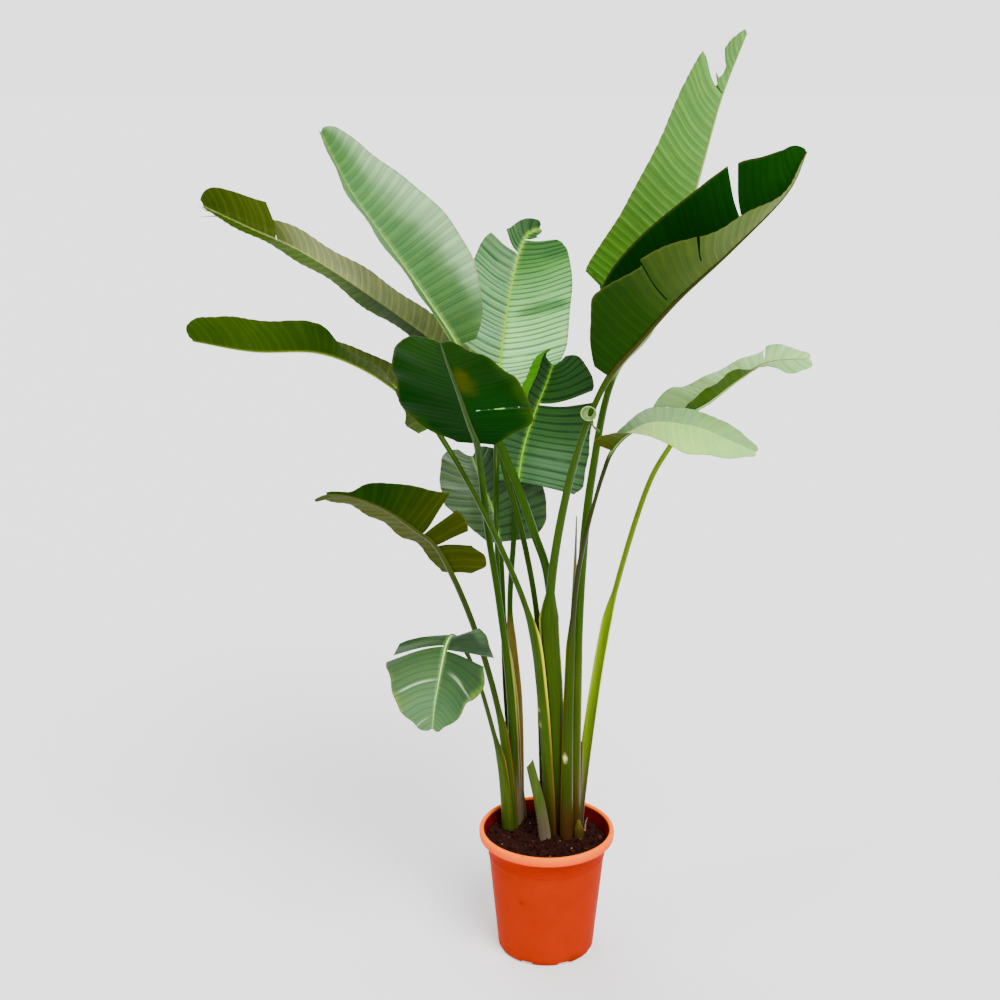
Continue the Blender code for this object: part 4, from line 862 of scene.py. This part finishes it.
def add_shoot(name, shoot):
    line = curve_from_foot(metres(shoot.path))
    length = distances(line)
    at_points = length[::CURVE_STEPS]
    s = np.linspace(at_points[1] - SUNK, length[-1], int(length[-1] / SHOOT_ROW))
    forward = unit(read_line(line, length, s + 0.002) - read_line(line, length, s - 0.002))
    hint = np.array(shoot.upper, float)
    upper = unit(hint - (forward @ hint)[:, None] * forward)
    width, thick = (np.interp(s, at_points, metres(sizes[:1] + sizes))
                    for sizes in (shoot.widths, shoot.thicknesses))
    ring, x, _ = section_ring(read_line(line, length, s), upper, np.cross(forward, upper), width, thick,
                              np.full(len(s), float(shoot.opening)))
    near_end = np.clip((s - s[-1]) / 0.03 + 1, 0, 1)
    ring = ring + (x * (metres(shoot.slant) / 2 * near_end)[:, None])[..., None] * forward[:, None]
    streak = wander(ring * (1.0, 1.0, 0.08), 150.0, 4.4)
    tint = blend(linear(shoot.foot) + 0 * ring, linear(shoot.colour),
                 (s[:, None] - s[0]) / 0.08 + 0.3 * streak)
    piece = tube(name + "_form", stalk_material(name), ring, tint * (1 + 0.3 * streak)[..., None],
                 section_uvs(ring, 0.04, s))
    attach(piece, "root")
    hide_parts(name)


def add_strand(strand):
    """A thin dry thread or twig through a few points."""
    points = np.array(metres(strand.points))
    line = curve_through([2 * points[0] - points[1], *points])[CURVE_STEPS:]
    share = np.linspace(0, 1, len(line))[:, None]
    forward = unit(np.gradient(line, axis=0))
    right = unit(np.cross(forward, (0.3, 1.0, 0.2)))
    upper = np.cross(right, forward)
    turn = round_steps(8)
    radius = along(metres(strand.radii), share)[..., None]
    ring = line[:, None] + radius * (np.cos(turn)[None, :, None] * right[:, None]
                                     + np.sin(turn)[None, :, None] * upper[:, None])
    tint = linear(strand.colour) * (1 + 0.3 * wander(ring, 300.0, 1.7))[..., None]
    piece = tube(strand.name, stalk_material(strand.name), ring, tint, spread(0.002 * turn, 0.03 * share))
    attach(piece, "root")


def add_curl(look):
    """The rolled lobe at the base of the small right leaf's blade: a shallow cup with a thick pale edge."""
    facing = unit(np.array(CURL_FACING))
    right = unit(np.cross(facing, (0, 0, 1)))
    upper = np.cross(right, facing)
    turn = round_steps(40)
    outline = 1 + 0.07 * np.sin(turn + 0.6) + 0.05 * np.sin(2 * turn + 1.0)
    share, depth = np.array([(share, metres(height)) for share, height in CURL_SECTION]).T[..., None]
    radius = CURL_RADIUS * share * outline
    ring = (np.array(CURL_PLACE) + (radius * np.cos(turn))[..., None] * right
            + (radius * np.sin(turn))[..., None] * upper + depth[..., None] * facing)
    streak = wander(ring, 150.0, 6.6)
    tint = blend(linear(CURL_DARK) + 0 * ring, linear(CURL_PALE), 0.5 + 0.8 * streak)
    tint = blend(tint, linear(CURL_EDGE), np.clip((depth + 0.0012) / 0.002, 0, 1) + 0 * streak)
    curl = tube("leaf_small_right_curl", blade_material("leaf_small_right_curl", look, 0), ring, tint,
                spread(0.01 * turn, radius), 3 * share)
    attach(curl, "root")


# ---------------------------------------------------------------- pot and soil

def inner_radius(z):
    """Inside radius of the pot above its groove."""
    return np.interp(z, [GROOVE_HEIGHT, POT_HEIGHT - LIP_HEIGHT],
                     [NECK_RADIUS - POT_WALL, RIM_RADIUS - LIP_INSET])


def pot_profile():
    """Half-section of the pot: up its inside from the edge of the floor, over the lip and down."""
    rim, neck = (RIM_RADIUS, POT_HEIGHT), (NECK_RADIUS, GROOVE_HEIGHT)
    lip = curve_through([(inner_radius(GROOVE_HEIGHT), GROOVE_HEIGHT),
                         *(np.array(rim) + metres(LIP_SECTION))])
    band = curve_through(np.array(neck) + metres(NECK_SECTION))
    foot = curve_through(np.array((BASE_RADIUS, 0.0)) + metres(FOOT_SECTION))
    share = np.linspace(1, 0, WALL_STEPS)[1:]
    wall = np.stack([BASE_RADIUS + (NECK_RADIUS - BASE_RADIUS) * share,
                     WALL_FOOT + (WALL_TOP - WALL_FOOT) * share], axis=-1)
    return np.vstack([(BASE_RADIUS - POT_WALL, POT_WALL), lip[::4], band[::4],
                      np.array(neck) + metres(GROOVE_SECTION), wall, foot[1:-1:6], foot[-1]])


def pot_tints(points, turn, inside):
    height = points[..., 2]
    grime = wander(points, 30.0, 1.1)
    tint = linear(POT_ORANGE) * (1 + 0.05 * wander(points, 12.0, 6.0))[..., None]
    tint = blend(tint, linear(POT_NECK), ~inside * (height > GROOVE_HEIGHT) * 0.8)
    # Painted shade on the inside wall
    tint = blend(tint, linear(POT_INSIDE_SHADE), 0.9 * inside)
    damp = np.clip(1 - (height - SOIL_LEVEL) / 0.012 + 0.8 * grime, 0, 1)
    tint = blend(tint, linear(SOIL_STAIN), 0.75 * inside * damp)
    # Painted highlight on the lip, from its top down to its lower edge
    lip = np.clip((height - POT_HEIGHT + LIP_HEIGHT - 0.0005) / 0.0015, 0, 1)
    lip_highlight = blend(linear(POT_LIP_HIGHLIGHT) + 0 * points, linear(POT_LIP_HIGHLIGHT_FOOT), (POT_HEIGHT - height) / LIP_HEIGHT)
    tint = blend(tint, lip_highlight, lip * np.where(inside, height > POT_HEIGHT - 0.0035, 1.0))
    scuff = np.clip(wander(points, 210.0, 4.0) * 3 - 1.2, 0, 1) * (height > POT_HEIGHT - 0.012)
    tint = blend(tint, linear(POT_SCUFF), 0.5 * scuff)
    dust = np.clip(0.4 - height / 0.02 + 1.2 * grime, 0, 1) * ~inside
    tint = blend(tint, linear(POT_DUST), 0.5 * dust)
    for at_turn, at_height, radius in POT_MARKS:
        away = np.hypot((turn - at_turn) * BASE_RADIUS / 2.2, height - at_height + 0.002 * grime) / radius
        tint = blend(tint, linear(POT_MARK), 0.7 * ~inside * np.clip(1.5 - away, 0, 1))
    return tint


def add_pot():
    radius, height = pot_profile().T[..., None]
    turn = round_steps(POT_SIDES)
    points = np.stack([radius * np.cos(turn), radius * np.sin(turn), height + 0 * turn], axis=-1)
    inside = (np.arange(len(height)) < int(np.argmax(height)))[:, None]
    pot = tube("pot_form", pot_material(), points, pot_tints(points, turn, inside),
               spread(turn / (2 * math.pi), height), sharp=32)
    block = primitive("notch", bmesh.ops.create_cube, 1.0, NOTCH)
    cutters = [add_object("notch", block) for _ in range(NOTCHES)]
    for k, notch in enumerate(cutters):
        angle = 2 * math.pi * (k + 0.5) / NOTCHES
        notch.location = (BASE_RADIUS * math.cos(angle), BASE_RADIUS * math.sin(angle), NOTCH[2] / 2 - 0.001)
        notch.rotation_euler.z = angle
        boolean = pot.modifiers.new("notch", "BOOLEAN")
        boolean.object = notch
        boolean.operation = "DIFFERENCE"
    keep_modified(pot)
    for notch in cutters:
        bpy.data.objects.remove(notch)
    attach(pot, "root")
    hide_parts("pot")


def keep_modified(obj):
    """Puts the result of an object's modifiers into its mesh."""
    bpy.context.view_layer.update()
    made = bpy.data.meshes.new_from_object(obj.evaluated_get(bpy.context.evaluated_depsgraph_get()))
    obj.modifiers.clear()
    obj.data = made


def soil_height(x, y):
    lumps = (np.sin(83 * x + 1.0) * np.cos(71 * y + 0.4) + 0.6 * np.sin(151 * x - 97 * y)
             + 0.4 * np.cos(190 * y + 60 * x))
    return SOIL_LEVEL + SOIL_LUMP * lumps - 0.03 * (x + 0.5 * y)


def add_soil(rng):
    turn = round_steps(SOIL_SIDES)
    share = np.linspace(0, 1, SOIL_RINGS)[1:]
    reach = inner_radius(SOIL_LEVEL) - SOIL_GAP
    x, y = share[:, None] * reach * np.cos(turn), share[:, None] * reach * np.sin(turn)
    flat = np.stack([x, y, 0 * x], axis=-1)
    rough = (0.0022 * wander(flat, 95.0, 1.0) + 0.0016 * wander(flat, 210.0, 2.0)
             + 0.0010 * wander(flat, 430.0, 3.0))
    top = np.stack([x, y, soil_height(x, y) + rough], axis=-1)
    # Where the soil dips at the wall its edge draws in with the wall
    top[-1, :, :2] *= np.minimum(1, (inner_radius(top[-1, :, 2]) - SOIL_GAP) / reach)[:, None]
    inset = (inner_radius(SKIRT_FOOT) - SKIRT_GAP) / reach
    skirt = np.stack([inset * x[-1], inset * y[-1], np.full_like(turn, SKIRT_FOOT)], axis=-1)[None]
    points = np.vstack([top, skirt])
    shade = 1 + 0.5 * wander(points, 260.0, 7.0) + 0.3 * wander(points, 60.0, 9.0)
    tint = linear(SOIL_BROWN) * np.clip(shade, 0.2, 2)[..., None]
    sheet = Sheet()
    index = sheet.add(points, tint, points[..., :2])
    centre = sheet.add(np.array([[0.0, 0.0, SOIL_LEVEL]]), linear(SOIL_BROWN), np.zeros(2))[0]
    sheet.quads(np.hstack([index, index[:, :1]]))
    sheet.face_list([[int(centre), int(index[0, k]), int(index[0, (k + 1) % SOIL_SIDES])]
                     for k in range(SOIL_SIDES)])
    sheet.face_list([index[-1].tolist()])
    add_crumbs(sheet, rng, reach)
    soil = sheet.build("soil_form", [soil_material()], sharp=70)
    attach(soil, "root")
    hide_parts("soil")


def add_crumbs(sheet, rng, reach):
    """Loose peat crumbs, bits of bark and a few pale grains, sunk a little into the soil's surface."""
    bm = bmesh.new()
    bmesh.ops.create_icosphere(bm, subdivisions=1, radius=1.0)
    ball = np.array([v.co for v in bm.verts])
    faces = np.array([[v.index for v in f.verts] for f in bm.faces])
    bm.free()
    for _ in range(CRUMBS):
        pale = rng.random() < 0.04
        size = rng.uniform(0.0007, 0.0012) if pale else 0.0012 + 0.0034 * rng.random() ** 3
        radius, angle = (reach - 2.2 * size) * math.sqrt(rng.random()), rng.uniform(0, 2 * math.pi)
        x, y = radius * math.cos(angle), radius * math.sin(angle)
        form = ball * (1 + 0.35 * rng.standard_normal((len(ball), 1))) * rng.uniform(0.5, 1.3, 3) * size
        spin = Vector(rng.standard_normal(3)).to_track_quat("Z", "Y").to_matrix()
        centre = (x, y, float(soil_height(x, y)) + 0.25 * size + 0.001)
        colour = PALE_CRUMB if pale else rng.choice(np.array(CRUMB_COLOURS))
        index = sheet.add(form @ np.array(spin).T + centre, linear(colour) * rng.uniform(0.6, 1.3),
                          np.array((x, y)))
        sheet.face_list(index[faces].tolist())


# ---------------------------------------------------------------- materials

class Tree:
    """A material's or a world's node tree, with short ways to add nodes."""

    def __init__(self, owner):
        self.owner = owner
        owner.use_nodes = True
        self.nodes, self.links = owner.node_tree.nodes, owner.node_tree.links

    def fill(self, node, **inputs):
        """Gives inputs, by name with _ for a space, a number, a colour or another node's output."""
        for name, value in inputs.items():
            self.fill_socket(node.inputs[name.replace("_", " ")], value)

    def fill_socket(self, socket, value):
        if isinstance(value, bpy.types.NodeSocket):
            self.links.new(value, socket)
        else:
            socket.default_value = value

    def add(self, kind, output, settings={}, **inputs):
        """A new node's output."""
        node = self.nodes.new("ShaderNode" + kind)
        for name, value in settings.items():
            setattr(node, name, value)
        self.fill(node, **inputs)
        return node.outputs[output]

    def attribute(self, name, output):
        return self.add("Attribute", output, {"attribute_name": name})

    def stripes(self, across, along_, detail=2.0):
        """Noise drawn out along the surface's second coordinate, across times as fine as along it."""
        place = self.add("Mapping", "Vector", Vector=self.add("UVMap", "UV", {"uv_map": "UVMap"}),
                         Scale=(across, along_, 1.0))
        return self.add("TexNoise", "Fac", Vector=place, Scale=1.0, Detail=detail)

    def grain(self, scale, detail=3.0):
        """Noise through the whole piece, in metres."""
        return self.add("TexNoise", "Fac", Vector=self.add("TexCoord", "Object"), Scale=scale, Detail=detail)

    def graded(self, value, low, high, to_low, to_high):
        """value, taken from the range low to high to the range to_low to to_high."""
        return self.add("MapRange", "Result", Value=value, From_Min=low, From_Max=high,
                        To_Min=to_low, To_Max=to_high)

    def math(self, kind, operation, *values):
        """The first output of a Math or VectorMath node."""
        node = self.nodes.new("ShaderNode" + kind)
        node.operation = operation
        for socket, value in zip((s for s in node.inputs if s.enabled), values):
            self.fill_socket(socket, value)
        return node.outputs[0]

    def times(self, colour, *grading):
        """colour, darkened or lightened by a graded value."""
        return self.math("VectorMath", "SCALE", colour, self.graded(*grading))

    def tinted(self, value, to_low, to_high):
        """The vertices' colour, darkened or lightened by noise."""
        return self.times(self.attribute("tint", "Color"), value, 0.3, 0.7, to_low, to_high)

    def vein_line(self, count, width, unevenness):
        """0 on the lines along the veins, count to a pleat, and 1 between them."""
        shifted = self.math("Math", "MULTIPLY_ADD", self.attribute("veins", "Fac"), count, 0.25 * (count - 1))
        line = self.graded(self.math("Math", "PINGPONG", shifted, 0.5), 0.0, width, 0.0, 1.0)
        return self.math("Math", "MAXIMUM", line, self.graded(unevenness, 0.45, 0.7, 0.0, 0.6))

    def surface(self, colour, roughness, specular, sheen, height, strength, distance):
        """The shader, with a bump of a strength and a distance in metres from height."""
        shader = self.nodes["Principled BSDF"]
        self.fill(shader, Base_Color=colour, Roughness=roughness, Specular_IOR_Level=specular,
                  Specular_Tint=(*sheen, 1.0),
                  Normal=self.add("Bump", "Normal", Height=height, Strength=strength, Distance=distance))
        return shader


def blade_material(name, look, face):
    """The upper side (face 0) has painted shade in the creases between pleats, the underside (face 1) pale
    veins.
    """
    tree = Tree(bpy.data.materials.new(name))
    roughness, specular = look.gloss[face]
    depth = look.crease[face]
    fine = tree.stripes(1400.0, 9.0)
    between = tree.vein_line(3.0, 0.3, fine)
    # crease above zero darkens the colour along the lines as painted shade; below zero it lightens them into
    # pale veins
    colour = tree.times(tree.tinted(fine, 0.88, 1.12), tree.vein_line(1.0, 0.2, tree.stripes(60.0, 22.0)),
                        0.0, 1.0, 1.0 - depth, 1.0)
    colour = tree.times(colour, between, 0.0, 1.0, 1.0 - 0.35 * depth, 1.0)
    rough = tree.graded(fine, 0.3, 0.7, roughness + 0.05, roughness - 0.05)
    shader = tree.surface(colour, rough, specular, look.sheen, between, 0.35, 0.0005)
    mix = tree.nodes.new("ShaderNodeMixShader")
    through = tree.add("BsdfTranslucent", "BSDF", Color=colour)
    for socket, value in zip(mix.inputs, (look.glow, shader.outputs["BSDF"], through)):
        tree.fill_socket(socket, value)
    tree.fill(tree.nodes["Material Output"], Surface=mix.outputs["Shader"])
    return tree.owner


def stalk_material(name):
    tree = Tree(bpy.data.materials.new(name))
    fibres = tree.stripes(900.0, 14.0, 3.0)
    tree.surface(tree.tinted(fibres, 0.82, 1.18), tree.graded(fibres, 0.3, 0.7, 0.30, 0.42), 0.15,
                 STALK_SHEEN, fibres, 0.3, 0.0003)
    return tree.owner


def pot_material():
    tree = Tree(bpy.data.materials.new("pot_plastic"))
    cloud = tree.grain(26.0, 4.0)
    tree.surface(tree.tinted(cloud, 0.95, 1.05), tree.graded(cloud, 0.3, 0.7, 0.34, 0.46), 0.006, POT_SHEEN,
                 tree.grain(900.0), 0.12, 0.0002)
    return tree.owner


def soil_material():
    tree = Tree(bpy.data.materials.new("soil_peat"))
    grain = tree.grain(1100.0, 5.0)
    tree.surface(tree.tinted(grain, 0.5, 1.5), 0.95, 0.05, WHITE, grain, 0.8, 0.0008)
    return tree.owner


# ---------------------------------------------------------------- stage, light and camera

def add_floor():
    sheet = primitive("floor", bmesh.ops.create_grid, FLOOR_REACH, x_segments=1, y_segments=1)
    floor = add_object("floor", sheet)
    tree = Tree(bpy.data.materials.new("floor"))
    tree.fill(tree.nodes["Principled BSDF"], Base_Color=FLOOR_GREY, Roughness=0.9)
    floor.data.materials.append(tree.owner)


def add_light(name, towards, angle, energy):
    data = bpy.data.lights.new(name, "SUN")
    data.angle, data.energy = math.radians(angle), energy
    light = add_object(name, data)
    light.location = 3.0 * Vector(towards)
    light.rotation_euler = Vector(towards).to_track_quat("Z", "Y").to_euler()


def add_world():
    """An even pale surround, as bright as the floor at the horizon and dimmer overhead."""
    tree = Tree(bpy.data.worlds.new("studio"))
    upward = tree.add("SeparateXYZ", "Z", Vector=tree.add("TexCoord", "Generated"))
    strength = tree.graded(upward, 0.08, 0.45, HORIZON_LIGHT, ZENITH_LIGHT)
    tree.fill(tree.nodes["Background"], Strength=strength, Color=(*WHITE, 1.0))
    bpy.context.scene.world = tree.owner


def add_camera():
    data = bpy.data.cameras.new("camera")
    data.sensor_width = 36.0
    data.lens = CAMERA_LENS
    data.clip_end = 60.0
    camera = add_object("camera", data)
    camera.location = CAMERA_PLACE
    camera.rotation_euler = (math.radians(90 - CAMERA_DOWN), 0.0, math.radians(CAMERA_LEFT))
    bpy.context.scene.camera = camera


def main():
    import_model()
    add_pot()
    add_soil(np.random.default_rng(5))
    for name, leaf in LEAVES.items():
        leaf = leaf_in_metres(leaf)
        add_blade(name, leaf, LOOKS[name])
        add_stalk(name, leaf, LOOKS[name])
    for name, shoot in SHOOTS.items():
        add_shoot(name, shoot)
    for strand in STRANDS:
        add_strand(strand)
    add_curl(LOOKS["leaf_small_right"])
    add_floor()
    add_world()
    for light in LIGHTS:
        add_light(*light)
    add_camera()


main()
